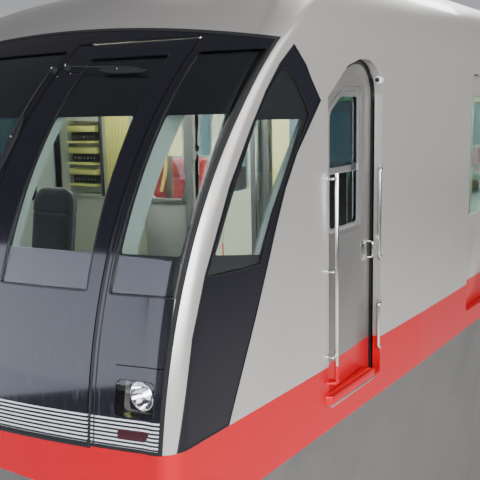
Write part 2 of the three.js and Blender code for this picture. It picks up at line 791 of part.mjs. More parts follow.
for (const [name, side] of Object.entries(sides)) {
  place(car, `side_wall_${name}`, sideWall(side), 'silver');
  place(car, `skirt_${name}`, bodySkirt(side), 'skirt');
  place(car, `quarter_window_${name}`, glassShell.intersect(quarterBlock(side, 1)), 'glass');
  place(car, `crew_door_${name}`, crewDoor(side), 'silver');
  for (const [spot, span] of Object.entries(sideWindows)) {
    place(car, `side_window_${spot}_${name}`, sidePane(span, side), 'glass');
  }
  for (const [spot, span] of Object.entries(benches)) {
    place(car, `bench_${spot}_${name}`, bench(span, side), 'seat');
  }
  for (const [spot, y] of Object.entries(passengerDoorYs)) {
    place(car, `door_${spot}_${name}_a`, doorLeaf(y, -1, side), 'silver');
    place(car, `door_${spot}_${name}_b`, doorLeaf(y, 1, side), 'silver');
  }
}

for (const [name, y] of Object.entries(bogieYs)) {
  const bogie = new THREE.Group();
  bogie.position.y = y;
  place(bogie, `bogie_${name}`, bogieFrame(), 'steel');
  place(bogie, `wheel_set_${name}_a`, wheelSet(), 'rubber', [0, -axleOffset, tyreRadius]);
  place(bogie, `wheel_set_${name}_b`, wheelSet(), 'rubber', [0, axleOffset, tyreRadius]);
  for (const [hand, side] of Object.entries(sides)) {
    const x = side * (beamHalf + guideRadius);
    place(bogie, `guide_wheel_${name}_${hand}_a`, guideWheel(), 'rubber', [x, -guideOffset, guideZ]);
    place(bogie, `guide_wheel_${name}_${hand}_b`, guideWheel(), 'rubber', [x, guideOffset, guideZ]);
    place(bogie, `stabiliser_wheel_${name}_${hand}`, guideWheel(), 'rubber', [x, 0, stabiliserZ]);
  }
  car.add(bogie);
}

export default car;
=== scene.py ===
import math

import bpy
from mathutils import Matrix, Vector


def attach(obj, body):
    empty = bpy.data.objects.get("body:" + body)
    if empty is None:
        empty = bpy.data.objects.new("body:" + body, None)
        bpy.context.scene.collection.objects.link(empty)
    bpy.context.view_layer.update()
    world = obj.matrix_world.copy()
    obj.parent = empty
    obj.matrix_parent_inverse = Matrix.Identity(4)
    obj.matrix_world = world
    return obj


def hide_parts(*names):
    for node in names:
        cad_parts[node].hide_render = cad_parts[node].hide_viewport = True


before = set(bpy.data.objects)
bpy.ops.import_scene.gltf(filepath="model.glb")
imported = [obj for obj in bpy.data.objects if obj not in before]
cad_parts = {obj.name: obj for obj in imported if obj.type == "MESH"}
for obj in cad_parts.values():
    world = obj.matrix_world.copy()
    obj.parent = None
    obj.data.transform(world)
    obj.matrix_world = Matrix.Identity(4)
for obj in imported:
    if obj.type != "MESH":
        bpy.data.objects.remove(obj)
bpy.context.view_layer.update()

bothSides = (("left", "Left", 1), ("right", "Right", -1))
bogies = {"front": -4.3, "rear": 4.5}


# small helpers

def deselectAll():
    bpy.ops.object.select_all(action="DESELECT")


def activate(*pieces):
    deselectAll()
    for piece in pieces:
        piece.select_set(True)
    bpy.context.view_layer.objects.active = pieces[0]


def named(name):
    piece = bpy.context.object
    piece.name = name
    piece.data.name = name
    return piece


def applyPlace(piece):
    activate(piece)
    bpy.ops.object.transform_apply(location=True, rotation=True, scale=True)
    return piece


def addBlock(name, x, y, z, bevel=0.0, segments=2):
    deselectAll()
    spans = [sorted(span) for span in (x, y, z)]
    middle = [(low + high) / 2 for low, high in spans]
    bpy.ops.mesh.primitive_cube_add(size=1, location=middle)
    piece = named(name)
    piece.scale = [high - low for low, high in spans]
    applyPlace(piece)
    if bevel:
        bevelEdges(piece, bevel, segments)
    return piece


def addRound(name, at, radius, span, axis="z", vertices=40, bevel=0.0):
    # a cylinder along one axis, from span[0] to span[1]
    deselectAll()
    low, high = span
    bpy.ops.mesh.primitive_cylinder_add(vertices=vertices, radius=radius, depth=high - low)
    piece = named(name)
    middle = (low + high) / 2
    if axis == "x":
        piece.rotation_euler = (0, math.pi / 2, 0)
        piece.location = (middle, at[0], at[1])
    elif axis == "y":
        piece.rotation_euler = (math.pi / 2, 0, 0)
        piece.location = (at[0], middle, at[1])
    else:
        piece.location = (at[0], at[1], middle)
    applyPlace(piece)
    if bevel:
        bevelEdges(piece, bevel, 2)
    return piece


def endEdit():
    # all faces turned outward, and back to object mode
    bpy.ops.mesh.select_all(action="SELECT")
    bpy.ops.mesh.normals_make_consistent(inside=False)
    bpy.ops.object.mode_set(mode="OBJECT")


def addPlate(name, outline, axis, low, high, round=0.0, steps=6):
    # a flat outline in the two axes across, filled, its corners rounded, and extruded
    deselectAll()
    bpy.ops.mesh.primitive_circle_add(vertices=len(outline), fill_type="NGON")
    piece = named(name)
    across = "xyz".index(axis)
    for vertex, (a, b) in zip(piece.data.vertices, outline):
        place = [a, b]
        place.insert(across, low)
        vertex.co = place
    way = [0, 0, 0]
    way[across] = high - low
    bpy.ops.object.mode_set(mode="EDIT")
    bpy.ops.mesh.select_all(action="SELECT")
    if round:
        bpy.ops.mesh.bevel(offset=round, offset_type="OFFSET", segments=steps, affect="VERTICES")
        bpy.ops.mesh.select_all(action="SELECT")
    bpy.ops.mesh.extrude_region_move(TRANSFORM_OT_translate={"value": way})
    endEdit()
    return piece


def about(middle, half):
    return (middle - half, middle + half)


def between(low, high, margin):
    return (low + margin, high - margin)


def rectangle(a, b):
    return [(a[0], b[0]), (a[1], b[0]), (a[1], b[1]), (a[0], b[1])]


def addRing(name, outer, inner, axis, low, high, outerRound=0.0, innerRound=0.0):
    # a flat frame: one outline with another cut out of it
    ring = addPlate(name, outer, axis, low, high, outerRound)
    return cutWith(ring, addPlate("inside", inner, axis, low - 0.1, high + 0.1, innerRound))


def addSpun(name, rows, axis, steps=48, at=(0, 0, 0)):
    # a closed section of (radius, along) turned about an axis through the point
    deselectAll()
    bpy.ops.mesh.primitive_circle_add(vertices=len(rows), fill_type="NOTHING")
    piece = named(name)
    for vertex, (radius, along) in zip(piece.data.vertices, rows):
        vertex.co = {"x": (along, 0, radius), "y": (radius, along, 0), "z": (radius, 0, along)}[axis]
    way = {"x": (1, 0, 0), "y": (0, 1, 0), "z": (0, 0, 1)}[axis]
    bpy.ops.object.mode_set(mode="EDIT")
    bpy.ops.mesh.select_all(action="SELECT")
    bpy.ops.mesh.spin(steps=steps, angle=2 * math.pi, center=(0, 0, 0), axis=way)
    bpy.ops.mesh.select_all(action="SELECT")
    bpy.ops.mesh.remove_doubles(threshold=0.0002)
    endEdit()
    piece.location = at
    return applyPlace(piece)


def roundedPath(points, radius, steps=5):
    # the points of a bent rod, with its corners rounded
    points = [Vector(point) for point in points]
    path = [points[0]]
    for before, corner, after in zip(points, points[1:], points[2:]):
        inward = (before - corner).normalized()
        outward = (after - corner).normalized()
        start, end = corner + inward * radius, corner + outward * radius
        for step in range(steps + 1):
            t = step / steps
            path.append(start * (1 - t) ** 2 + corner * 2 * t * (1 - t) + end * t * t)
    path.append(points[-1])
    return path


def addRod(name, points, radius, bend=0.03, sides=4):
    deselectAll()
    path = roundedPath(points, bend) if len(points) > 2 else [Vector(point) for point in points]
    bpy.ops.curve.primitive_bezier_curve_add()
    piece = named(name)
    curve = piece.data
    curve.splines.clear()
    line = curve.splines.new("POLY")
    line.points.add(len(path) - 1)
    for point, place in zip(line.points, path):
        point.co = (*place, 1)
    curve.bevel_depth = radius
    curve.bevel_resolution = sides
    curve.use_fill_caps = True
    bpy.ops.object.convert(target="MESH")
    return applyPlace(bpy.context.object)


def bevelEdges(piece, width, segments=2, angle=30):
    activate(piece)
    bevel = piece.modifiers.new("bevel", "BEVEL")
    bevel.width = width
    bevel.segments = segments
    bevel.limit_method = "ANGLE"
    bevel.angle_limit = math.radians(angle)
    bpy.ops.object.modifier_apply(modifier="bevel")
    return piece


def cutWith(piece, cutter, operation="DIFFERENCE", keep=False):
    activate(piece)
    cut = piece.modifiers.new("cut", "BOOLEAN")
    cut.operation = operation
    cut.solver = "MANIFOLD"
    cut.object = cutter
    bpy.ops.object.modifier_apply(modifier="cut")
    if not keep:
        bpy.data.objects.remove(cutter)
    return piece


def pieceOf(shell, name, area, *holes):
    # what a shell has inside one cutter and outside the others
    piece = cutWith(copyOf(shell, name), area, "INTERSECT")
    for hole in holes:
        cutWith(piece, hole)
    return piece


def copyOf(piece, name):
    activate(piece)
    bpy.ops.object.duplicate()
    return named(name)


def moved(piece, way):
    piece.data.transform(Matrix.Translation(way))
    return piece


def movedCopy(piece, name, way):
    return moved(copyOf(piece, name), way)


def discard(*pieces):
    for piece in pieces:
        bpy.data.objects.remove(piece)


def joined(name, pieces):
    activate(*pieces)
    bpy.ops.object.join()
    return named(name)


def onSide(piece, side):
    # what was modelled on the left stays, or is turned over to the right
    if side < 0:
        piece.data.transform(Matrix.Scale(-1, 4, (1, 0, 0)))
        piece.data.flip_normals()
    return piece


def finished(piece, material, body="car_body", slot=None, replaces=(), smooth=35):
    activate(piece)
    bpy.ops.object.shade_smooth_by_angle(angle=math.radians(smooth))
    piece.data.materials.clear()
    piece.data.materials.append(material)
    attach(piece, body)
    if replaces:
        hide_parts(*replaces)
    return piece


def fitted(piece, side, *how, **more):
    return finished(onSide(piece, side), *how, **more)


reachX = (1.2, 1.7)  # how far a cutter goes into the side
sideReach = (1.25, 1.7)  # the same in the nose, where the side is rounded


def sideHole(outline, round=0.0):
    # a cutter through the left wall
    return addPlate("hole", outline, "x", *reachX, round)


# materials

def newGroup(name, inputs, outputs):
    tree = bpy.data.node_groups.new(name, "ShaderNodeTree")
    for label, value in inputs.items():
        socket = tree.interface.new_socket(label, in_out="INPUT", socket_type="NodeSocketFloat")
        socket.default_value = value
    for label in outputs:
        tree.interface.new_socket(label, in_out="OUTPUT", socket_type="NodeSocketFloat")
    return tree, tree.nodes.new("NodeGroupInput"), tree.nodes.new("NodeGroupOutput")


def addMath(tree, operation, first, second=None, third=None):
    node = tree.nodes.new("ShaderNodeMath")
    node.operation = operation
    for socket, value in zip(node.inputs, (first, second, third)):
        if value is None:
            continue
        if isinstance(value, (int, float)):
            socket.default_value = value
        else:
            tree.links.new(value, socket)
    return node.outputs[0]


def addRamp(tree, value, low, high):
    # a smooth step from 0 at low to 1 at high
    node = tree.nodes.new("ShaderNodeMapRange")
    node.interpolation_type = "SMOOTHSTEP"
    for label, given in (("Value", value), ("From Min", low), ("From Max", high)):
        if isinstance(given, (int, float)):
            node.inputs[label].default_value = given
        else:
            tree.links.new(given, node.inputs[label])
    return node.outputs["Result"]


def objectPlace(tree, scale=(1, 1, 1)):
    place = tree.nodes.new("ShaderNodeTexCoord")
    stretch = tree.nodes.new("ShaderNodeMapping")
    stretch.inputs["Scale"].default_value = scale
    tree.links.new(place.outputs["Object"], stretch.inputs["Vector"])
    return stretch.outputs["Vector"]


def addNoise(tree, vector, scale, detail=3.0, roughness=0.55):
    noise = tree.nodes.new("ShaderNodeTexNoise")
    noise.inputs["Detail"].default_value = detail
    noise.inputs["Roughness"].default_value = roughness
    tree.links.new(vector, noise.inputs["Vector"])
    if isinstance(scale, (int, float)):
        noise.inputs["Scale"].default_value = scale
    else:
        tree.links.new(scale, noise.inputs["Scale"])
    return noise.outputs["Fac"]


# grain: fine height for paint, plastic and rubber
grainGroup, given, result = newGroup("grain", {"Scale": 400.0}, ["Height"])
fine = addNoise(grainGroup, objectPlace(grainGroup), given.outputs["Scale"], 4.0)
grainGroup.links.new(fine, result.inputs["Height"])

# streaks: rain and dust runs down the surface
streakGroup, given, result = newGroup("streaks", {"Scale": 30.0, "Cover": 0.5}, ["Mask"])
runs = addNoise(streakGroup, objectPlace(streakGroup, (1, 1, 0.05)), given.outputs["Scale"], 5.0, 0.65)
low = addMath(streakGroup, "SUBTRACT", 1.0, given.outputs["Cover"])
high = addMath(streakGroup, "ADD", low, 0.25)
streakGroup.links.new(addRamp(streakGroup, runs, low, high), result.inputs["Mask"])

# dust: blotches, thicker towards a lower height
dustGroup, given, result = newGroup("dust", {"Scale": 3.0, "Low": 0.0, "High": 2.0}, ["Mask"])
blotches = addNoise(dustGroup, objectPlace(dustGroup), given.outputs["Scale"], 6.0, 0.6)
split = dustGroup.nodes.new("ShaderNodeSeparateXYZ")
dustGroup.links.new(objectPlace(dustGroup), split.inputs["Vector"])
fall = addRamp(dustGroup, split.outputs["Z"], given.outputs["High"], given.outputs["Low"])
raised = addMath(dustGroup, "MULTIPLY_ADD", fall, 0.6, blotches)
dustGroup.links.new(addRamp(dustGroup, raised, 0.45, 1.1), result.inputs["Mask"])

# edge wear: bright or dull corners, broken up
wearGroup, given, result = newGroup("edgeWear", {"Scale": 20.0, "Amount": 0.5}, ["Mask"])
shape = wearGroup.nodes.new("ShaderNodeNewGeometry")
rounded = wearGroup.nodes.new("ShaderNodeBevel")
rounded.inputs["Radius"].default_value = 0.004
alike = wearGroup.nodes.new("ShaderNodeVectorMath")
alike.operation = "DOT_PRODUCT"
wearGroup.links.new(shape.outputs["Normal"], alike.inputs[0])
wearGroup.links.new(rounded.outputs["Normal"], alike.inputs[1])
corner = addRamp(wearGroup, alike.outputs["Value"], 0.985, 0.85)
broken = addNoise(wearGroup, objectPlace(wearGroup), given.outputs["Scale"], 5.0, 0.7)
worn = addMath(wearGroup, "MULTIPLY", corner, addRamp(wearGroup, broken, 0.4, 0.6))
wearGroup.links.new(addMath(wearGroup, "MULTIPLY", worn, given.outputs["Amount"]), result.inputs["Mask"])

# a band between two heights
bandGroup, given, result = newGroup("heightBand", {"Low": 0.0, "High": 1.0}, ["Mask"])
split = bandGroup.nodes.new("ShaderNodeSeparateXYZ")
bandGroup.links.new(objectPlace(bandGroup), split.inputs["Vector"])
over = addMath(bandGroup, "GREATER_THAN", split.outputs["Z"], given.outputs["Low"])
under = addMath(bandGroup, "LESS_THAN", split.outputs["Z"], given.outputs["High"])
bandGroup.links.new(addMath(bandGroup, "MULTIPLY", over, under), result.inputs["Mask"])

# cloth: threads over and under, in the object's own place
clothGroup, given, result = newGroup("weave", {"Scale": 300.0}, ["Height", "Mask"])
split = clothGroup.nodes.new("ShaderNodeSeparateXYZ")
clothGroup.links.new(objectPlace(clothGroup), split.inputs["Vector"])
threads = []
for label in ("X", "Y", "Z"):
    turns = addMath(clothGroup, "MULTIPLY", split.outputs[label], given.outputs["Scale"])
    threads.append(addMath(clothGroup, "SINE", turns))
crossed = addMath(clothGroup, "MULTIPLY", addMath(clothGroup, "ADD", threads[0], threads[1]), threads[2])
clothGroup.links.new(addMath(clothGroup, "ADD", crossed, threads[1]), result.inputs["Height"])
pile = addNoise(clothGroup, objectPlace(clothGroup), 60.0, 4.0)
clothGroup.links.new(pile, result.inputs["Mask"])


def useGroup(tree, group, **values):
    node = tree.nodes.new("ShaderNodeGroup")
    node.node_tree = group
    for label, value in values.items():
        node.inputs[label].default_value = value
    return node


def mixColours(tree, mask, first, second):
    mix = tree.nodes.new("ShaderNodeMix")
    mix.data_type = "RGBA"
    tree.links.new(mask, mix.inputs[0])
    colourA, colourB = [socket for socket in mix.inputs if socket.type == "RGBA"]
    for socket, value in ((colourA, first), (colourB, second)):
        if isinstance(value, tuple):
            socket.default_value = (*value, 1)
        else:
            tree.links.new(value, socket)
    return [socket for socket in mix.outputs if socket.type == "RGBA"][0]


def mixValues(tree, mask, first, second):
    return addMath(tree, "MULTIPLY_ADD", mask, second - first, first)


def newMaterial(name, colour, roughness, metallic=0.0, coat=0.0):
    material = bpy.data.materials.new(name)
    material.use_nodes = True
    tree = material.node_tree
    shader = tree.nodes["Principled BSDF"]
    shader.inputs["Base Color"].default_value = (*colour, 1)
    shader.inputs["Roughness"].default_value = roughness
    shader.inputs["Metallic"].default_value = metallic
    shader.inputs["Coat Weight"].default_value = coat
    shader.inputs["Coat Roughness"].default_value = 0.05
    return material, tree, shader


def addBump(tree, shader, height, strength, distance=0.001):
    bump = tree.nodes.new("ShaderNodeBump")
    bump.inputs["Strength"].default_value = strength
    bump.inputs["Distance"].default_value = distance
    tree.links.new(height, bump.inputs["Height"])
    tree.links.new(bump.outputs["Normal"], shader.inputs["Normal"])


dustColour = (0.2, 0.185, 0.16)
wornColour = (0.45, 0.44, 0.42)


def painted(name, colour, roughness, metallic=0.0, coat=0.0, dusty=0.35, grain=300.0, band=None):
    # paint with dust, runs and worn corners; band = (low, high, colour) is a second colour between two heights
    material, tree, shader = newMaterial(name, colour, roughness, metallic, coat)
    dust = useGroup(tree, dustGroup, Scale=2.5, Low=-0.4, High=2.6).outputs["Mask"]
    runs = useGroup(tree, streakGroup, Scale=26.0, Cover=0.42).outputs["Mask"]
    wear = useGroup(tree, wearGroup, Scale=30.0, Amount=0.35).outputs["Mask"]
    base = mixColours(tree, addMath(tree, "MULTIPLY", runs, 0.12), colour, tuple(c * 0.72 for c in colour))
    if band:
        low, high, second = band
        mask = useGroup(tree, bandGroup, Low=low, High=high).outputs["Mask"]
        base = mixColours(tree, mask, base, second)
        tree.links.new(mixValues(tree, mask, metallic, 0.5), shader.inputs["Metallic"])
        tree.links.new(mixValues(tree, mask, coat, 0.0), shader.inputs["Coat Weight"])
    base = mixColours(tree, addMath(tree, "MULTIPLY", dust, dusty), base, dustColour)
    base = mixColours(tree, wear, base, wornColour)
    tree.links.new(base, shader.inputs["Base Color"])
    rough = addMath(tree, "MULTIPLY_ADD", dust, 0.3 * dusty, roughness)
    tree.links.new(addMath(tree, "MULTIPLY_ADD", runs, 0.08, rough), shader.inputs["Roughness"])
    addBump(tree, shader, useGroup(tree, grainGroup, Scale=grain).outputs["Height"], 0.12, 0.0006)
    return material


redColour = (0.7, 0.0, 0.014)
silverColour = (0.54, 0.517, 0.483)
silverPaint = painted("silverPaint", silverColour, 0.32, 0.6, 0.3, dusty=0.08, band=(0.5, 1.36, redColour))
# the body's silver darkened as painted shade for the crew door leaves, which sit in a recess; the red band as
# on the body
doorPaint = painted("doorPaint", (0.215, 0.207, 0.196), 0.36, 0.55, 0.1, dusty=0.1,
                    band=(0.5, 1.36, redColour))
roofPaint = painted("roofPaint", (0.44, 0.43, 0.4), 0.36, 0.5, 0.15, dusty=0.3)
redPaint = painted("redPaint", redColour, 0.34, 0.5, 0.0, dusty=0.0)
# the skirts' near-black colour is painted shade for the shadow under the body, with dust over it
skirtPaint = painted("skirtPaint", (0.085, 0.087, 0.09), 0.45, 0.2, dusty=0.5)
steelPaint = painted("steelPaint", (0.13, 0.135, 0.14), 0.55, 0.4, dusty=0.8, grain=160.0)
rimPaint = painted("rimPaint", (0.36, 0.37, 0.37), 0.45, 0.5, dusty=0.6)
whitePaint = painted("whitePaint", (0.62, 0.63, 0.6), 0.45, 0.0, dusty=0.05)
rackPaint = painted("rackPaint", (0.58, 0.61, 0.47), 0.5, 0.0, dusty=0.05)
greyPlastic = painted("greyPlastic", (0.24, 0.26, 0.26), 0.5, 0.0, dusty=0.1, grain=500.0)
darkPlastic = painted("darkPlastic", (0.025, 0.027, 0.03), 0.5, 0.0, dusty=0.1, grain=500.0)
yellowPanel = painted("yellowPanel", (0.88, 0.84, 0.26), 0.5, 0.0, dusty=0.02)
jambPaint = painted("jambPaint", (0.42, 0.49, 0.45), 0.45, 0.0, dusty=0.03)


# the pale bluish layer's colour is partly a film of runs and dust and partly painted sheen
maskColours = {"paint": (0.009, 0.009, 0.013), "film": (0.06, 0.062, 0.1), "stripe": (0.72, 0.74, 0.74)}


def makeMaskBlack(name, stripes, film=0.4, coat=0.5, rough=0.1):
    # navy-black gloss, with a pale bluish layer along rain runs and dust, thicker lower down, partly real film
    # and partly painted sheen; and thin white stripes near its lower edge
    material, tree, shader = newMaterial(name, maskColours["paint"], rough, 0.0, coat)
    runs = useGroup(tree, streakGroup, Scale=45.0, Cover=0.5).outputs["Mask"]
    dust = useGroup(tree, dustGroup, Scale=4.0, Low=0.8, High=2.6).outputs["Mask"]
    film = addMath(tree, "MULTIPLY", addMath(tree, "MULTIPLY", runs, film), dust)
    base = mixColours(tree, film, maskColours["paint"], maskColours["film"])
    if stripes:
        split = tree.nodes.new("ShaderNodeSeparateXYZ")
        tree.links.new(objectPlace(tree), split.inputs["Vector"])
        rows = addMath(tree, "DIVIDE", addMath(tree, "SUBTRACT", split.outputs["Z"], stripes["low"]),
                       stripes["pitch"])
        white = addMath(tree, "LESS_THAN", addMath(tree, "FRACT", rows), stripes["share"])
        top = stripes["low"] + stripes["count"] * stripes["pitch"]
        band = useGroup(tree, bandGroup, Low=stripes["low"], High=top).outputs["Mask"]
        base = mixColours(tree, addMath(tree, "MULTIPLY", white, band), base, maskColours["stripe"])
    tree.links.new(base, shader.inputs["Base Color"])
    tree.links.new(addMath(tree, "MULTIPLY_ADD", film, 0.35, rough), shader.inputs["Roughness"])
    addBump(tree, shader, useGroup(tree, grainGroup, Scale=150.0).outputs["Height"], 0.05, 0.0005)
    return material


maskStripes = {"low": 1.366, "pitch": 0.0172, "share": 0.46, "count": 8}
maskBlack = makeMaskBlack("maskBlack", maskStripes)
# the printed black border behind the glass, with a strong pale bluish layer that is painted sheen
fritBlack = makeMaskBlack("fritBlack", None, 0.6, 0.0, 0.4)
quarterBlack = makeMaskBlack("quarterBlack", None, 0.02, 0.0, 0.22)
quarterBlack.node_tree.nodes["Principled BSDF"].inputs["Specular IOR Level"].default_value = 0.25


def makeGlass(name, tint, roughness=0.0):
    material, tree, shader = newMaterial(name, tint, roughness)
    shader.inputs["Transmission Weight"].default_value = 1.0
    shader.inputs["IOR"].default_value = 1.45
    film = useGroup(tree, streakGroup, Scale=35.0, Cover=0.45).outputs["Mask"]
    tree.links.new(addMath(tree, "MULTIPLY_ADD", film, 0.03, roughness), shader.inputs["Roughness"])
    tree.links.new(mixColours(tree, film, tint, tuple(0.94 * c for c in tint)), shader.inputs["Base Color"])
    return material


clearGlass = makeGlass("clearGlass", (0.9, 0.97, 0.96))
tealGlass = makeGlass("tealGlass", (0.42, 0.68, 0.7))
darkGlass = makeGlass("darkGlass", (0.02, 0.09, 0.12))
lampGlass = makeGlass("lampGlass", (0.97, 0.98, 1.0))


def makeRubber(name, colour, roughness, dusty=0.4):
    material, tree, shader = newMaterial(name, colour, roughness)
    dust = useGroup(tree, dustGroup, Scale=9.0, Low=-1.2, High=3.0).outputs["Mask"]
    film = addMath(tree, "MULTIPLY", dust, dusty)
    tree.links.new(mixColours(tree, film, colour, (0.09, 0.085, 0.08)), shader.inputs["Base Color"])
    tree.links.new(addMath(tree, "MULTIPLY_ADD", dust, 0.15, roughness), shader.inputs["Roughness"])
    addBump(tree, shader, useGroup(tree, grainGroup, Scale=220.0).outputs["Height"], 0.35, 0.001)
    return material


edgeRubber = makeRubber("edgeRubber", (0.006, 0.006, 0.007), 0.8, 0.0)
sealRubber = makeRubber("sealRubber", (0.006, 0.006, 0.007), 0.32, 0.05)
tyreRubber = makeRubber("tyreRubber", (0.022, 0.022, 0.023), 0.75)
bellowsRubber = makeRubber("bellowsRubber", (0.03, 0.031, 0.033), 0.7)


def makeMetal(name, colour, roughness):
    material, tree, shader = newMaterial(name, colour, roughness, 1.0)
    scuffs = useGroup(tree, streakGroup, Scale=120.0, Cover=0.5).outputs["Mask"]
    tree.links.new(addMath(tree, "MULTIPLY_ADD", scuffs, 0.15, roughness), shader.inputs["Roughness"])
    tree.links.new(mixColours(tree, scuffs, colour, tuple(0.86 * c for c in colour)),
                   shader.inputs["Base Color"])
    addBump(tree, shader, useGroup(tree, grainGroup, Scale=600.0).outputs["Height"], 0.05, 0.0003)
    return material


stainless = makeMetal("stainless", (0.72, 0.72, 0.7), 0.16)
aluminium = makeMetal("aluminium", (0.55, 0.55, 0.54), 0.4)
reflector = makeMetal("reflector", (0.92, 0.92, 0.93), 0.08)


def makeCloth(name, colour, second, scale=900.0):
    material, tree, shader = newMaterial(name, colour, 0.85)
    shader.inputs["Sheen Weight"].default_value = 0.4
    cloth = useGroup(tree, clothGroup, Scale=scale)
    tree.links.new(mixColours(tree, cloth.outputs["Mask"], colour, second), shader.inputs["Base Color"])
    addBump(tree, shader, cloth.outputs["Height"], 0.4, 0.0006)
    return material


seatCloth = makeCloth("seatCloth", (0.4, 0.02, 0.045), (0.26, 0.014, 0.03))
driverCloth = makeCloth("driverCloth", (0.05, 0.062, 0.068), (0.028, 0.034, 0.038))


def makeGlow(name, colour, strength):
    material, tree, shader = newMaterial(name, colour, 0.4)
    shader.inputs["Emission Strength"].default_value = strength
    haze = useGroup(tree, grainGroup, Scale=30.0).outputs["Height"]
    tree.links.new(mixColours(tree, haze, colour, tuple(0.9 * c for c in colour)),
                   shader.inputs["Emission Color"])
    return material


ceilingGlow = makeGlow("ceilingGlow", (1.0, 0.98, 0.88), 60.0)
lampGlow = makeGlow("lampGlow", (1.0, 0.98, 0.96), 9.0)
tailRed = painted("tailRed", (0.035, 0.001, 0.005), 0.15, 0.0, 0.6, dusty=0.0)
print("materials made")

# camera, light and floor

camera = {"place": (3.33, -9.34, 2.75), "lens": 56.25, "right": (0.82585, 0.56354, -0.0199),
          "up": (-0.07727, 0.14804, 0.98596), "back": (0.55858, -0.81271, 0.1658)}
deselectAll()
bpy.ops.object.camera_add(location=camera["place"])
lens = named("camera")
axes = Matrix((camera["right"], camera["up"], camera["back"])).transposed()
lens.rotation_euler = axes.to_euler()
lens.data.sensor_width = 36.0
lens.data.lens = camera["lens"]
lens.data.dof.use_dof = False
bpy.context.scene.camera = lens

lights = {
    "key": {"place": (10.5, -13, 4.8), "size": 12, "tall": 5, "power": 2600, "aim": (0.8, -6, 2),
            "colour": (0.94, 0.96, 1.0)},
    "over": {"place": (7, -12, 11), "size": 6, "power": 330, "aim": (0, -5, 2)},
    "side": {"place": (10, -3.5, 6.5), "size": 6, "power": 430, "aim": (1.4, -5.5, 2)},
    "back": {"place": (-9, 9, 9), "size": 8, "power": 1000, "aim": (0, 2, 1)},
    "top": {"place": (0, 3, 11), "size": 7, "power": 500, "aim": (0, 2, 0)},
    "strip": {"place": (0.4, 2, 6.6), "size": 1.1, "tall": 7, "power": 400, "aim": (0.4, 2, 0)},
    "low": {"place": (-4.8, -15.6, 3.1), "size": 9.5, "tall": 6.4, "power": 520, "aim": (0.6, -7, 1.6),
            "colour": (0.76, 0.8, 1.0), "roll": 14},
}
for name, light in lights.items():
    deselectAll()
    bpy.ops.object.light_add(type="AREA", location=light["place"])
    lamp = named(name)
    lamp.data.energy = light["power"]
    lamp.data.size = light["size"]
    lamp.data.color = light.get("colour", (1.0, 1.0, 1.0))
    if "tall" in light:
        lamp.data.shape = "RECTANGLE"
        lamp.data.size_y = light["tall"]
    way = Vector(light["aim"]) - Vector(light["place"])
    roll = Matrix.Rotation(math.radians(light.get("roll", 0)), 3, "Z")
    turn = way.to_track_quat("-Z", "Y").to_matrix() @ roll
    lamp.rotation_euler = turn.to_euler()

sky = bpy.data.worlds.new("studio")
sky.use_nodes = True
bpy.context.scene.world = sky
skyTree = sky.node_tree
skyPlace = skyTree.nodes.new("ShaderNodeTexCoord")
skySplit = skyTree.nodes.new("ShaderNodeSeparateXYZ")
skyTree.links.new(skyPlace.outputs["Generated"], skySplit.inputs["Vector"])
overhead = addRamp(skyTree, skySplit.outputs["Z"], 0.02, 0.5)
sideways = addRamp(skyTree, skySplit.outputs["X"], 0.0, 0.6)
horizon = mixColours(skyTree, sideways, (0.6, 0.61, 0.64), (0.12, 0.12, 0.125))
shade = mixColours(skyTree, overhead, horizon, (0.1, 0.1, 0.105))
skyTree.links.new(shade, skyTree.nodes["Background"].inputs["Color"])
skyTree.nodes["Background"].inputs["Strength"].default_value = 0.8

deselectAll()
bpy.ops.mesh.primitive_plane_add(size=80, location=(0, 0, -1.365))
floor = applyPlace(named("floor"))
floor.data.materials.append(newMaterial("floorPaint", (0.74, 0.73, 0.71), 0.7)[0])
print("camera and light set")

# the nose: one surface, cut into its panels

nose = {"jointY": -4.44, "tipY": -7.35, "lowZ": 1.0, "roofZ": 3.7, "hemZ": -1.36, "sillZ": 0.99,
        "shoulderZ": 3.08, "power": 2.3, "planRadius": 4.7, "cornerRadius": 0.13, "taper": 0.035,
        "tuck": 0.29, "draft": 0.09, "halfWidth": 1.49, "shoulderRadius": 0.62, "roofRound": 0.26,
        "columns": 84, "rows": 84, "lowRows": 20, "thick": 0.06}
redTop = 1.36
standZ = 1.1365  # on the floor's cover


def noseFront(z, inset=0.0):
    if z < nose["lowZ"]:
        tuck = (nose["lowZ"] - z) / (nose["lowZ"] - nose["hemZ"])
        return nose["tipY"] + inset + nose["tuck"] * tuck ** 2
    rise = min(1.0, (z - nose["lowZ"]) / (nose["roofZ"] - nose["lowZ"] - inset))
    length = nose["jointY"] - nose["tipY"] - inset
    return nose["jointY"] - length * (1 - rise ** nose["power"]) ** (1 / nose["power"])


def halfWidthAt(z, inset=0.0):
    if z < nose["sillZ"]:
        return nose["halfWidth"] - inset - nose["draft"] * (nose["sillZ"] - z) / (nose["sillZ"] - nose["hemZ"])
    if z < nose["shoulderZ"]:
        return nose["halfWidth"] - inset
    rise = z - nose["shoulderZ"]
    flat = nose["halfWidth"] - nose["shoulderRadius"]
    return flat + math.sqrt(max(0.0, (nose["shoulderRadius"] - inset) ** 2 - rise ** 2))


def spread(points, weights, count):
    # points spaced evenly along a weighted length
    total = [0.0]
    for (a, b), weight in zip(zip(points, points[1:]), weights):
        total.append(total[-1] + math.dist(a, b) * weight)
    spaced, k = [], 0
    for i in range(count):
        goal = total[-1] * i / (count - 1)
        while k < len(points) - 2 and total[k + 1] < goal:
            k += 1
        step = total[k + 1] - total[k]
        t = min(1.0, max(0.0, (goal - total[k]) / step)) if step > 1e-9 else 0.0
        spaced.append(tuple(p + (q - p) * t for p, q in zip(points[k], points[k + 1])))
    return spaced


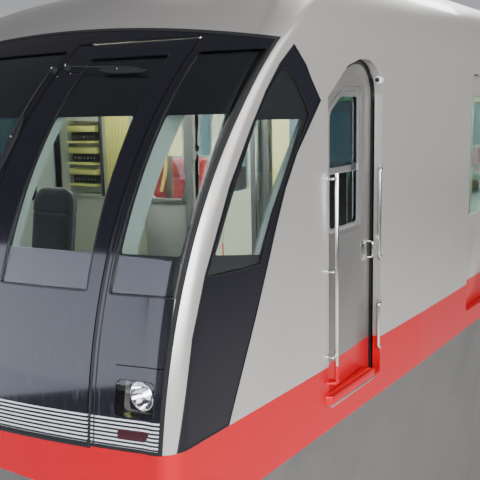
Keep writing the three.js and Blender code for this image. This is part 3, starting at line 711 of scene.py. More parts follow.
def noseLevels(inset):
    lows = [nose["hemZ"] + (nose["lowZ"] - nose["hemZ"]) * i / nose["lowRows"]
            for i in range(nose["lowRows"])]
    length = nose["jointY"] - nose["tipY"] - inset
    height = nose["roofZ"] - nose["lowZ"] - inset
    curve, finest = [], 360
    for i in range(finest + 1):
        angle = math.radians(89.6) * i / finest
        curve.append((nose["lowZ"] + height * math.sin(angle) ** (2 / nose["power"]),
                      nose["jointY"] - length * math.cos(angle) ** (2 / nose["power"])))
    return [(z, noseFront(z, inset)) for z in lows] + spread(curve, [1.0] * finest, nose["rows"])


def levelOutline(z, front, inset, count):
    width = halfWidthAt(z, inset)
    rise = max(0.0, (z - nose["shoulderZ"]) / (nose["roofZ"] - nose["shoulderZ"]))
    radius = nose["cornerRadius"] + nose["roofRound"] * rise ** 2 - inset / 2
    taper = nose["taper"] * (1 - rise)
    endX = width - taper - radius
    endY = front + endX ** 2 / (2 * nose["planRadius"])
    points = [(endX * i / 40, front + (endX * i / 40) ** 2 / (2 * nose["planRadius"])) for i in range(41)]
    for i in range(1, 25):
        angle = math.pi / 2 * i / 24
        points.append((endX + radius * math.sin(angle), endY + radius * (1 - math.cos(angle))))
    points.append((width, nose["jointY"]))
    points = [(x, min(y, nose["jointY"])) for x, y in points]
    return spread(points, [1.0] * 40 + [4.0] * 24 + [0.6], count)


def addNoseSkin(name, inset):
    # a grid laid on the nose, from one joint edge round to the other
    columns = 2 * nose["columns"]
    levels = noseLevels(inset)
    deselectAll()
    bpy.ops.mesh.primitive_grid_add(x_subdivisions=columns, y_subdivisions=len(levels) - 1, size=2)
    skin = named(name)
    table = []
    for z, front in levels:
        half = levelOutline(z, front, inset, nose["columns"] + 1)
        whole = [(-x, y) for x, y in reversed(half[1:])] + half
        table.append([(x, y, z) for x, y in whole])
    for vertex in skin.data.vertices:
        column = round((vertex.co.x + 1) / 2 * columns)
        row = round((vertex.co.y + 1) / 2 * (len(levels) - 1))
        vertex.co = table[row][column]
    return skin


def addNoseShell(name, outer, inner):
    # two skins bridged along their open edge into one closed shell
    out, back = addNoseSkin("outerSkin", outer), addNoseSkin("innerSkin", inner)
    back.data.flip_normals()
    shell = joined(name, [out, back])
    bpy.ops.object.mode_set(mode="EDIT")
    bpy.ops.mesh.select_all(action="DESELECT")
    bpy.ops.mesh.select_mode(type="EDGE")
    bpy.ops.mesh.select_non_manifold(extend=False, use_wire=False, use_multi_face=False,
                                     use_non_contiguous=False, use_verts=False)
    bpy.ops.mesh.bridge_edge_loops()
    endEdit()
    return shell


noseShell = addNoseShell("noseShell", 0.0, nose["thick"])
print("nose shell", len(noseShell.data.polygons), "faces")

mask = {"lowX": 1.395, "topX": 1.445, "topZ": 3.222, "topRadius": 8.675, "depth": 0.25}


def maskTopAt(x):
    return mask["topZ"] - x * x / (2 * mask["topRadius"])


def maskCutter(name, margin):
    half = mask["topX"] - margin
    outline = [(-mask["lowX"] + margin, redTop + margin), (mask["lowX"] - margin, redTop + margin)]
    outline += [(x, maskTopAt(x) - margin) for x in (half * (1 - i / 14) for i in range(29))]
    front = addPlate(name, outline, "y", -8.0, -5.9)
    edge = []
    for i in range(40):
        z = redTop - 0.05 + (mask["topZ"] + 0.1 - redTop) * i / 39
        edge.append((noseFront(z) + mask["depth"] - margin, z))
    behind = addPlate("behind", [(-8.0, edge[-1][1]), (-8.0, edge[0][1])] + edge, "x", -1.6, 1.6)
    return cutWith(front, behind, "INTERSECT")


hatch = {"x": (0.333, 1.057), "topZ": 3.124, "gap": 0.006}
reachY = (-8.0, -6.0)  # how far a cutter goes into the nose from in front


def hatchCutter(name, margin):
    x0, x1 = hatch["x"]
    return addBlock(name, between(x0, x1, margin), reachY, between(redTop, hatch["topZ"], margin))


frontSpans = {"corner_window_right": (-1.46, -1.095), "windscreen": (-1.05, 0.29),
              "corner_window_left": (1.095, 1.46)}
frontPanes = {name: {"low": span, "high": span} for name, span in frontSpans.items()}
paneLowZ = 2.0
hatchPane = {"low": (0.505, 0.992), "high": (0.488, 0.955), "z": (2.005, 3.045)}


def paneOutline(pane, margin):
    (a0, a1), (b0, b1) = pane["low"], pane["high"]
    low, high = pane["z"]
    return [(a0 + margin, low + margin), (a1 - margin, low + margin),
            (b1 - margin, high - margin), (b0 + margin, high - margin)]


for pane in frontPanes.values():
    x0, x1 = pane["low"]
    pane["z"] = (paneLowZ, maskTopAt(min(1.38, max(abs(x0), abs(x1)))) - 0.06)


def plainCutter(name, pane, margin, round=0.016):
    return addPlate(name, paneOutline(pane, margin), "y", *reachY, round=max(0.004, round - margin))


def paneCutter(name, pane, margin):
    # a corner window runs out to the mask's own edge
    piece = plainCutter(name, pane, margin)
    if max(abs(x) for x in pane["low"]) > mask["lowX"]:
        cutWith(piece, maskCutter("edge", 0.014 + margin), "INTERSECT")
    return piece


quarterOutline = [(-7.085, 1.3603), (-6.975, 1.832), (-6.882, 2.077), (-6.685, 2.444), (-6.505, 2.697),
                  (-6.380, 2.855), (-6.255, 2.982), (-6.121, 3.078), (-6.012, 2.987), (-5.956, 2.911),
                  (-5.867, 2.810), (-6.110, 2.553), (-6.223, 2.389), (-6.312, 2.214), (-6.380, 2.068),
                  (-6.500, 1.815), (-6.735, 1.3603)]
quarterInner = [(-6.868, 2.077), (-6.672, 2.444), (-6.512, 2.675),
                (-6.388, 2.828), (-6.281, 2.926), (-6.227, 2.964), (-6.182, 2.961), (-6.102, 2.898),
                (-6.028, 2.812), (-5.981, 2.737), (-6.053, 2.640), (-6.165, 2.500), (-6.250, 2.387),
                (-6.325, 2.275), (-6.391, 2.163), (-6.450, 2.055), (-6.500, 2.050), (-6.820, 2.062)]
quarterClear = [(-6.788, 2.152), (-6.62, 2.444), (-6.445, 2.722),
                (-6.045, 2.718), (-6.2, 2.477), (-6.342, 2.277), (-6.442, 2.097)]


def drawnIn(outline, margin):
    # each edge of a clockwise outline moved in, its corners mitred
    points = [Vector(point) for point in outline]
    drawn = []
    for i, point in enumerate(points):
        before = (point - points[i - 1]).normalized()
        after = (points[(i + 1) % len(points)] - point).normalized()
        away = margin / max(0.25, 1 + before.dot(after))
        mitre = Vector((before.y + after.y, -before.x - after.x)) * away
        drawn.append(tuple(point + mitre))
    return drawn


def quarterCutter(name, side, margin, outline=quarterOutline):
    return onSide(addPlate(name, drawnIn(outline, margin), "x", *sideReach), side)


crewDoor = {"y": (-5.792, -5.125), "topZ": 3.04, "floorZ": 1.13, "round": 0.21,
            "corner": [(0.0, 0.214), (0.228, 0.042), (0.372, 0.002)], "x": (1.45, 1.412), "thick": 0.04}


def crewDoorOutline(margin, steps=14):
    front, rear = crewDoor["y"]
    points = [(front, crewDoor["floorZ"])]
    points += [(front + back, crewDoor["topZ"] - drop) for back, drop in crewDoor["corner"]]
    for i in range(steps + 1):
        angle = math.pi / 2 * i / steps
        points.append((rear - crewDoor["round"] * (1 - math.sin(angle)),
                       crewDoor["topZ"] - crewDoor["round"] * (1 - math.cos(angle))))
    return drawnIn(points + [(rear, crewDoor["floorZ"])], margin)


def crewDoorCutter(name, side, margin=0.0, x=sideReach):
    return onSide(addPlate(name, crewDoorOutline(margin), "x", *x), side)


apron = {"frontZ": 1.18, "halfArch": 1.4}


def underApronCutter(name, margin):
    drop = apron["frontZ"] - nose["sillZ"]
    outline = [(-1.7, 0.7), (1.7, 0.7), (1.7, nose["sillZ"] - margin)]
    for i in range(41):
        x = apron["halfArch"] * (1 - i / 20)
        outline.append((x, apron["frontZ"] - margin - drop * abs(x / apron["halfArch"]) ** 3))
    outline.append((-1.7, nose["sillZ"] - margin))
    return addPlate(name, outline, "y", -8.0, -7.0 - margin)


# behind the corner windows' outer edges the wall is thin, so that the glass runs out to the pillar
reliefShell = addNoseShell("reliefShell", 0.018, nose["thick"] + 0.001)
rows = [2.04 + 0.86 * i / 12 for i in range(13)]
area = [(noseFront(z) + 0.12, z) for z in rows] + [(noseFront(z) + 0.37, z) for z in reversed(rows)]
reliefs = []
for side in (1, -1):
    reliefs.append(copyOf(reliefShell, "relief"))
    cutWith(reliefs[-1], onSide(addPlate("area", area, "x", 1.2, 1.6), side), "INTERSECT")
discard(reliefShell)

# cowl: silver, with the quarter windows, the crew doors' openings and the mask cut out
above = addBlock("above", (-2, 2), (-8, nose["jointY"] + 0.0003), (redTop, 4.5))
cowl = pieceOf(noseShell, "noseCowl", above, maskCutter("maskHole", 0.0))
for relief in reliefs:
    cutWith(cowl, relief, keep=True)
for side in (1, -1):
    cutWith(cowl, quarterCutter("quarterHole", side, 0.0))
    cutWith(cowl, crewDoorCutter("doorHole", side))
finished(cowl, silverPaint, slot="body_silver", replaces=["nose_cowl"], smooth=30)

# mask: gloss black, with the panes and the hatch cut out
maskPanel = pieceOf(noseShell, "noseMask", maskCutter("maskArea", 0.003), hatchCutter("hatchHole", 0.0),
                    *reliefs)
for pane in frontPanes.values():
    cutWith(maskPanel, paneCutter("paneHole", pane, 0.0))
finished(maskPanel, maskBlack, slot="mask_black", replaces=["nose_mask"], smooth=30)

# hatch: the way out at the front
hatchPanel = pieceOf(noseShell, "frontHatch", hatchCutter("hatchArea", hatch["gap"]),
                     paneCutter("hatchHole", hatchPane, 0.0))
finished(hatchPanel, maskBlack, "front_hatch", slot="mask_black", replaces=["front_hatch"], smooth=30)

# apron: red, arched up over the front
band = addBlock("band", (-2, 2), (-8, nose["jointY"]), (nose["sillZ"], redTop - 0.0015))
apronPanel = pieceOf(noseShell, "noseApron", band, underApronCutter("arch", 0.0))
for side in (1, -1):
    cutWith(apronPanel, crewDoorCutter("doorHole", side))
finished(apronPanel, redPaint, slot="red_paint", replaces=["nose_apron"], smooth=30)

# skirt of the nose: open over the beam
skirt = {"slotHalf": 0.48, "slotTop": 0.15}
skirtArea = addBlock("low", (-2, 2), (-8, nose["jointY"]), (-2, nose["sillZ"] - 0.001))
cutWith(skirtArea, underApronCutter("archFill", 0.001), "UNION")
beamSlot = addBlock("beamSlot", about(0, skirt["slotHalf"]), reachY, (-2, skirt["slotTop"]))
skirtPanel = pieceOf(noseShell, "noseSkirt", skirtArea, beamSlot)
finished(skirtPanel, skirtPaint, slot="skirt_grey", replaces=["nose_skirt"], smooth=30)
print("nose panels cut")

# front glass, its black borders, and its rubber
glassShell = addNoseShell("glassShell", 0.006, 0.014)
fritShell = addNoseShell("fritShell", 0.0145, 0.0175)
rubberShell = addNoseShell("rubberShell", -0.0015, 0.016)
panelShell = addNoseShell("panelShell", 0.001, 0.012)
revealShell = addNoseShell("revealShell", 0.018, 0.065)
deepShell = addNoseShell("deepShell", 0.018, 0.125)
thinShell = addNoseShell("thinShell", 0.018, 0.052)
liningShell = addNoseShell("liningShell", 0.0615, 0.066)
clearZ = (2.165, 2.748)
frit = {"side": 0.013, "rubber": 0.007}


def glaze(name, body, holeCutter, liningCutter, clearCutter, material, reveal, replaces=()):
    # a pane in its rubber, a printed black border behind the glass, and the opening's pale lining
    glass = pieceOf(glassShell, name + "Glass", holeCutter(frit["rubber"] - 0.003))
    finished(glass, material, body, "glass", replaces, smooth=30)
    border = pieceOf(fritShell, name + "Border", holeCutter(0.004), clearCutter())
    finished(border, fritBlack, body, "mask_black", smooth=30)
    seal = pieceOf(rubberShell, name + "Rubber", holeCutter(0.0), holeCutter(frit["rubber"]))
    finished(seal, sealRubber, body, "bellows_rubber", smooth=30)
    lining = pieceOf(reveal, name + "Reveal", liningCutter(0.0005), liningCutter(0.004))
    if name.startswith("corner"):
        for x in (-1.9, 1.9):
            cutWith(lining, addBlock("cornerEnd", about(x, 0.58), (-8, -5), (1, 4)))
    finished(lining, jambPaint, body, "lining", smooth=30)


def glazeFront(name, body, pane, reveal, replaces=()):
    def clear():
        low, high = clearZ
        outline = [(a, min(max(z, low), high)) for a, z in paneOutline(pane, frit["side"])]
        if name.startswith("corner"):
            outline = [(1.108, low), (1.378, low), (1.402, high), (1.108, high)]
            piece = addPlate("clear", outline, "y", *reachY, round=0.012)
            return onSide(piece, 1 if pane["low"][0] > 0 else -1)
        return addPlate("clear", outline, "y", *reachY, round=0.012)
    glaze(name, body, lambda margin: paneCutter("pane", pane, margin),
          lambda margin: plainCutter("lining", pane, margin),
          clear, clearGlass, reveal, replaces)


shortNames = {"corner_window_right": "cornerRight", "windscreen": "windscreen",
              "corner_window_left": "cornerLeft"}
for name, pane in frontPanes.items():
    reveal = revealShell if name == "windscreen" else deepShell
    glazeFront(shortNames[name], "car_body", pane, reveal, [name])
glazeFront("hatch", "front_hatch", hatchPane, revealShell)

# quarter windows: a gloss black panel with the glass set in it
for hand, end, side in bothSides:
    panel = pieceOf(panelShell, "quarterPanel" + end, quarterCutter("area", side, 0.006),
                    quarterCutter("glassHole", side, 0.0, quarterInner))
    finished(panel, quarterBlack, slot="glass", replaces=["quarter_window_" + hand], smooth=30)
    edge = pieceOf(rubberShell, "quarterEdge" + end, quarterCutter("area", side, 0.0),
                   quarterCutter("inside", side, 0.0055))
    finished(edge, sealRubber, slot="bellows_rubber", smooth=30)

    def clear():
        return onSide(addPlate("clear", quarterClear, "x", *sideReach, 0.012), side)
    glaze("quarter" + end, "car_body",
          lambda margin: quarterCutter("pane", side, margin, quarterInner),
          lambda margin: quarterCutter("lining", side, margin, quarterInner), clear, clearGlass, thinShell,
          ["quarter_window_" + hand])

# the cab's lining, open at the windows and doors
cabPart = addBlock("cabPart", (-2, 2), (-6.85, -4.965), (1.137, 3.3))
cabLining = pieceOf(liningShell, "cabLining", cabPart, maskCutter("maskPart", -0.03))
for side in (1, -1):
    cutWith(cabLining, quarterCutter("quarterPart", side, -0.004, quarterInner))
    cutWith(cabLining, crewDoorCutter("doorPart", side, -0.002, reachX))
finished(cabLining, jambPaint, slot="lining", smooth=30)
discard(panelShell, revealShell, deepShell, thinShell, liningShell)
print("front glazed")

# body: roof, side walls, rear wall, skirts

body = {"front": -4.44, "rear": 7.08, "wall": 0.11, "shell": 0.06, "floorZ": 1.13,
        "doorHalf": 0.65, "doorTop": 3.02, "slotTop": 3.03, "windowZ": (1.95, 2.9), "paneX": (1.45, 1.462),
        "rubberX": (1.4625, 1.488), "pocketX": (1.392, 1.448), "slabZ": (1.04, 1.13)}
doorMiddles = {"front": -2.81, "rear": 3.9}
windowSpans = {"front": (-1.4, 0.5), "rear": (0.62, 2.5), "end": (5.3, 6.7)}


def sectionArc(inset, steps=20):
    # the body's section over the shoulders, from right to left
    flat = nose["halfWidth"] - nose["shoulderRadius"]
    radius = nose["shoulderRadius"] - inset
    quarter = []
    for i in range(steps + 1):
        angle = math.pi / 2 * i / steps
        quarter.append((flat + radius * math.cos(angle), nose["shoulderZ"] + radius * math.sin(angle)))
    return quarter + [(-x, z) for x, z in reversed(quarter)]


roof = addPlate("roof", sectionArc(0.0) + list(reversed(sectionArc(body["shell"]))), "y", body["front"],
                body["rear"])
finished(roof, silverPaint, slot="body_silver", replaces=["roof_shell"], smooth=20)

unit = {"half": 0.78, "low": 3.66, "top": 3.735, "spans": [(-2.7, -0.9), (2.3, 4.1)], "slats": 22,
        "wells": (-0.42, 0.42)}
for number, (y0, y1) in enumerate(unit["spans"], 1):
    case = addBlock(f"roofUnit{number}", about(0, unit["half"]), (y0, y1), (unit["low"], unit["top"]), 0.02, 3)
    for x in unit["wells"]:
        cutWith(case, addBlock("well", about(x, 0.27), between(y0, y1, 0.12), (unit["top"] - 0.025, 4)))
    finished(case, roofPaint, slot="body_silver", replaces=["roof_shell"])
    slats = []
    for x in unit["wells"]:
        for i in range(unit["slats"]):
            y = y0 + 0.15 + (y1 - y0 - 0.3) * i / (unit["slats"] - 1)
            slats.append(addBlock("slat", about(x, 0.268), about(y, 0.012),
                                  (unit["top"] - 0.022, unit["top"] - 0.004), 0.003))
    finished(joined(f"roofGrille{number}", slats), steelPaint, slot="body_silver", replaces=["roof_shell"])

for hand, end, side in bothSides:
    wall = addBlock("sideWall" + end, (nose["halfWidth"] - body["wall"], nose["halfWidth"]),
                    (body["front"], body["rear"]), (nose["sillZ"], nose["shoulderZ"]))
    for y in doorMiddles.values():
        reach = 2 * body["doorHalf"] + 0.01
        cutWith(wall, sideHole(rectangle(about(y, body["doorHalf"]), (body["floorZ"], body["doorTop"])), 0.06))
        cutWith(wall, addBlock("pocket", body["pocketX"], about(y, reach), (body["floorZ"], body["slotTop"])))
    for span in windowSpans.values():
        cutWith(wall, sideHole(rectangle(span, body["windowZ"]), 0.08))
    fitted(wall, side, silverPaint, slot="body_silver", replaces=["side_wall_" + hand])

    for spot, (y0, y1) in windowSpans.items():
        name = spot + "Window" + end
        z0, z1 = body["windowZ"]
        outer = rectangle(between(y0, y1, 0.0005), between(z0, z1, 0.0005))
        inner = rectangle(between(y0, y1, 0.03), between(z0, z1, 0.03))
        glass = addPlate(name + "Glass", outer, "x", *body["paneX"], 0.08)
        node = [f"side_window_{spot}_{hand}"] if spot != "end" else []
        fitted(glass, side, tealGlass, slot="glass", replaces=node)
        seal = bevelEdges(addRing(name + "Rubber", outer, inner, "x", *body["rubberX"], 0.08, 0.055), 0.004)
        fitted(seal, side, sealRubber, slot="bellows_rubber")
print("side walls done")

# crew doors

crewWindow = [(-5.742, 2.105), (-5.33, 2.105), (-5.33, 2.845), (-5.59, 2.845), (-5.742, 2.748)]
crewPanel = [(-5.77, 2.07), (-5.285, 2.07), (-5.285, 2.892), (-5.552, 2.892), (-5.77, 2.775)]
crewRear, crewFront = crewDoor["y"][1], crewDoor["y"][0]


def crewSlab(name, outward, thick):
    # a slab along the door's slant; outward is the way out from the leaf's face
    frontX, rearX = crewDoor["x"]
    outline = [(frontX + outward, crewFront), (rearX + outward, crewRear),
               (rearX + outward - thick, crewRear), (frontX + outward - thick, crewFront)]
    return addPlate(name, outline, "z", crewDoor["floorZ"] + 0.001, crewDoor["topZ"])


def crewPlate(name, outline, outward, thick, round=0.0):
    piece = addPlate(name, outline, "x", 1.3, 1.6, round)
    return cutWith(piece, crewSlab("slant", outward, thick), "INTERSECT")


for hand, end, side in bothSides:
    door = "crew_door_" + hand
    leaf = cutWith(crewSlab("crewDoor" + end, 0.0, crewDoor["thick"]), crewDoorCutter("edge", 1, 0.006),
                   "INTERSECT")
    cutWith(leaf, sideHole(crewWindow, 0.035))
    cutWith(leaf, crewPlate("recess", crewPanel, 0.02, 0.03, 0.05))
    bevelEdges(leaf, 0.003)
    fitted(leaf, side, doorPaint, door, "body_silver", [door])
    # the opening's inner liner, black as painted shade for the deep gap behind the leaf
    liner = crewDoorCutter("crewJamb" + end, 1, -0.012, (1.33, 1.4295))
    cutWith(liner, crewDoorCutter("inside", 1, 0.0))
    cutWith(liner, addBlock("frontPart", (1.2, 1.6), (-5.9, -5.335), (1.128, 3.2)))
    fitted(liner, side, sealRubber, slot="bellows_rubber")
    seal = crewDoorCutter("crewJambSeal" + end, 1, 0.0002)
    cutWith(seal, crewDoorCutter("inside", 1, 0.0052, (1.2, 1.8)))
    cutWith(seal, crewSlab("slant", 0.007, 0.009), "INTERSECT")
    cutWith(seal, addBlock("sillPart", (1.2, 1.8), (-6, -5), (1.0, 1.145)))
    fitted(seal, side, edgeRubber, slot="bellows_rubber")
    board = crewPlate("crewBoard" + end, rectangle(between(crewFront, crewRear, 0.02), (1.16, 3.0)),
                      -crewDoor["thick"] - 0.0005, 0.004, 0.08)
    cutWith(board, sideHole(crewWindow, 0.035))
    fitted(board, side, jambPaint, door, "lining")
    glass = crewPlate("crewGlass" + end, crewWindow[::-1], -0.018, 0.006, 0.03)
    fitted(glass, side, darkGlass, door, "glass")
print("crew doors done")

# passenger doors

leafShape = {"x": (1.4, 1.44), "window": (1.9, 2.85), "stile": 0.11, "glassX": (1.418, 1.426),
             "boardX": (1.3955, 1.3995), "boardZ": (1.15, 2.99), "hangerX": (1.412, 1.428),
             "hangerZ": (3.008, 3.0294)}
for spot, y in doorMiddles.items():
    for hand, end, side in bothSides:
        for letter, (y0, y1) in (("a", (y - 0.648, y - 0.003)), ("b", (y + 0.003, y + 0.648))):
            node = f"door_{spot}_{hand}_{letter}"
            name = f"{spot}Door{end}{letter.upper()}"
            leaf = addBlock(name, leafShape["x"], (y0, y1), (body["floorZ"] + 0.006, body["doorTop"] - 0.006))
            opening = rectangle((y0 + leafShape["stile"], y1 - leafShape["stile"]), leafShape["window"])
            cutWith(leaf, sideHole(opening, 0.06))
            bevelEdges(leaf, 0.004)
            hangers = [leaf]
            for h in (y0 + 0.06, y1 - 0.14):
                hangers.append(addBlock("hanger", leafShape["hangerX"], (h, h + 0.08), leafShape["hangerZ"]))
            fitted(joined(name, hangers), side, silverPaint, node, "body_silver", [node])
            area = rectangle((y0 + 0.02, y1 - 0.004), leafShape["boardZ"])
            board = addPlate(name + "Board", area, "x", *leafShape["boardX"], 0.03)
            cutWith(board, sideHole(opening, 0.06))
            fitted(board, side, jambPaint, node, "lining")
            glass = addPlate(name + "Glass", opening, "x", *leafShape["glassX"], 0.06)
            fitted(glass, side, tealGlass, node, "glass")
print("passenger doors done")

# rear wall and skirts

rearOutline = sectionArc(0.0) + [(-nose["halfWidth"], nose["sillZ"]), (nose["halfWidth"], nose["sillZ"])]
rear = addPlate("rearWall", rearOutline, "y", body["rear"] + 0.0005, body["rear"] + 0.08)
cutWith(rear, addBlock("doorway", (-0.42, 0.42), (6.9, 7.4), (body["floorZ"], 3.06)))
bevelEdges(rear, 0.006)
finished(rear, silverPaint, slot="body_silver", replaces=["rear_wall"])

for hand, end, side in bothSides:
    hem, top, low, high = 1.4, nose["halfWidth"], nose["hemZ"], nose["sillZ"] - 0.0005
    jointOutline = [(hem - 0.004, -1.37), (top - 0.004, 1.0), (top + 0.02, 1.0), (hem + 0.02, -1.37)]
    panel = addPlate("skirt" + end, [(hem - 0.04, low), (top - 0.04, high), (top, high), (hem, low)],
                     "y", body["front"], body["rear"])
    latches = []
    for k in range(8):
        y = -3.04 + 1.44 * k
        if k < 7:
            cutWith(panel, addPlate("joint", jointOutline, "y", *about(y, 0.004)))
        for z in (-1.2, 0.85):
            x = hem + (top - hem) * (z - low) / 2.35
            for back in (1.36, 0.08):
                latches.append(addRound("latch", (y - back, z), 0.022, (x - 0.006, x + 0.004), "x", 20, 0.001))
    fitted(panel, side, skirtPaint, slot="skirt_grey", replaces=["skirt_" + hand])
    fitted(joined("skirtLatches" + end, latches), side, steelPaint)
print("body done")

# on the nose: lamps, rubber lines, wipers

def noseSurfaceY(x, z, inset=0.0):
    outline = levelOutline(z, noseFront(z, inset), inset, 200)
    return min(outline, key=lambda point: abs(point[0] - abs(x)))[1]


edgeShell = addNoseShell("edgeShell", -0.0015, 0.012)
maskEdge = pieceOf(edgeShell, "maskRubber", maskCutter("outside", -0.003), maskCutter("inside", 0.013))
finished(maskEdge, edgeRubber, slot="bellows_rubber", smooth=30)
hatchEdge = pieceOf(edgeShell, "hatchRubber", hatchCutter("outside", -0.012), hatchCutter("inside", -0.0005))
finished(hatchEdge, sealRubber, slot="bellows_rubber", smooth=30)

for hand, x in (("Left", hatch["x"][1] + 0.028), ("Right", hatch["x"][0] - 0.028)):
    seamArea = addBlock("seamArea", about(x, 0.0025), reachY, (redTop + 0.004, 3.14))
    seam = pieceOf(edgeShell, "maskSeam" + hand, seamArea)
    finished(seam, sealRubber, slot="bellows_rubber", smooth=30)

lampReach = (-8, -6.5)  # how far a cutter for the lamps goes in from in front
headlamp = {"cover": ((1.18, 1.356), (1.505, 1.66)), "bowl": (1.286, 1.592), "radius": 0.06,
            "panel": ((1.172, 1.386), (1.5, 1.72)), "tail": ((1.199, 1.345), (1.408, 1.45))}
coverShell = addNoseShell("coverShell", 0.002, 0.006)
tailShell = addNoseShell("tailShell", -0.004, 0.01)
for hand, end, side in bothSides:
    (x0, x1), (z0, z1) = headlamp["cover"]
    hole = addPlate("lampHole", rectangle((x0, x1), (z0, z1)), "y", *lampReach, 0.025)
    cutWith(maskPanel, onSide(hole, side))
    lensArea = addPlate("lensArea", rectangle(between(x0, x1, 0.003), between(z0, z1, 0.003)), "y",
                        *lampReach, 0.023)
    lens = pieceOf(coverShell, "lampCover" + end, lensArea)
    fitted(lens, side, lampGlass, slot="glass", smooth=30)
    x, z = headlamp["bowl"]
    y = noseSurfaceY(x, z) + 0.02
    r = headlamp["radius"]
    rows = [(0.0, 0.05), (r * 0.45, 0.045), (r * 0.8, 0.028), (r, 0.0), (r + 0.004, 0.0), (r * 0.85, 0.032),
            (r * 0.5, 0.049), (0.0, 0.054)]
    fitted(addSpun("lampBowl" + end, rows, "y", at=(x, y, z)), side, reflector, smooth=60)
    bulbRows = [(0.0, 0.008), (0.007, 0.01), (0.01, 0.018), (0.01, 0.048), (0.0, 0.048)]
    bulb = addSpun("lampBulb" + end, bulbRows, "y", 24, (x, y, z))
    fitted(bulb, side, lampGlow, smooth=60)
    back = addBlock("lampCase" + end, (x0 - 0.01, x1 + 0.005), (y + 0.052, y + 0.06), (z0 - 0.01, z1 + 0.01),
                    0.002)
    fitted(back, side, darkPlastic)
    (x0, x1), (z0, z1) = headlamp["tail"]
    barArea = addPlate("bar", [(x0, z0), (x1 - 0.02, z0), (x1, z1), (x0, z1)], "y", *lampReach, 0.006)
    bar = pieceOf(tailShell, "tailLamp" + end, barArea)
    fitted(bar, side, tailRed, smooth=30)
    (x0, x1), (z0, z1) = headlamp["panel"]
    groove = addPlate("groove", rectangle((x0, x1), (z1 - 0.004, z1)), "y", *lampReach)
    cutWith(maskPanel, onSide(groove, side))
discard(edgeShell, coverShell, tailShell)

outWay = Vector((0, -0.79, 0.61))  # out of the windscreen, at the wipers


def setOut(piece, x, z):
    # stood on the nose, pointing out of it
    piece.rotation_euler = outWay.to_track_quat("Z", "Y").to_euler()
    piece.location = (x, noseSurfaceY(x, z), z)
    return applyPlace(piece)


def addWiper(name, body, pivot, tip, blade, hold):
    # a boss on its pivot, a thin arm, and a leaf-shaped blade in its holder
    px, pz = pivot
    boss = addSpun(name + "Boss", [(0, -0.01), (0.019, -0.01), (0.019, 0.014), (0.015, 0.02), (0, 0.022)],
                   "z", 28)
    finished(setOut(boss, px, pz), edgeRubber, body, smooth=40)
    nut = addRound(name + "Nut", (0, 0), 0.0065, (0.018, 0.032), "z", 6, 0.001)
    finished(setOut(nut, px, pz), stainless, body)
    points = []
    for i in range(9):
        x = px + (tip[0] - px) * i / 8
        z = pz + (tip[1] - pz) * i / 8
        points.append(Vector((x, noseSurfaceY(x, z), z)) + outWay * 0.022)
    finished(addRod(name + "Arm", points, 0.0042, 0.004), sealRubber, body, smooth=60)
    outline = [(0, 0), (0.12, 0.02), (0.3, 0.028), (0.6, 0.026), (0.85, 0.012), (1.0, 0.0),
               (0.88, -0.011), (0.62, -0.017), (0.3, -0.016), (0.1, -0.009)]
    (ax, az), (bx, bz) = blade
    start, end = Vector((ax, noseSurfaceY(ax, az), az)), Vector((bx, noseSurfaceY(bx, bz), bz))
    along = end - start
    across = outWay.cross(along).normalized()
    if across.z < 0 and abs(across.z) > 0.3:
        across = -across
    leaf = addPlate(name + "Blade", outline, "z", 0.0, 0.012)
    for vertex in leaf.data.vertices:
        u, v, w = vertex.co
        vertex.co = start + along * u + across * v + outWay * (0.008 + w)
    activate(leaf)
    bpy.ops.object.mode_set(mode="EDIT")
    endEdit()
    bevelEdges(leaf, 0.003)
    finished(leaf, edgeRubber, body)
    pin = addRound(name + "Pin", (0, 0), 0.0055, (0.012, 0.026), "z", 16, 0.001)
    finished(setOut(pin, *hold), stainless, body)


addWiper("hatchWiper", "front_hatch", (0.385, 2.995), (0.72, 2.975), ((0.617, 2.967), (0.9, 2.955)),
         (0.73, 2.966))
addWiper("frontWiper", "car_body", (0.302, 2.985), (0.3, 2.66), ((0.3, 2.76), (0.288, 2.4)), (0.3, 2.65))
print("lamps and wipers done")

# by the crew doors: handrails, steps and lamps, and the fittings on the leaves

rail = {"x": 1.505, "y": -5.765, "top": 2.432, "foot": 1.27, "radius": 0.0115}
rearRail = {"x": 1.48, "y": -5.153, "radius": 0.0115, "spans": [(2.42, 1.86), (1.59, 1.29)]}
step = {"y": (-5.838, -5.25), "z": (1.15, 1.196), "outX": 1.505}
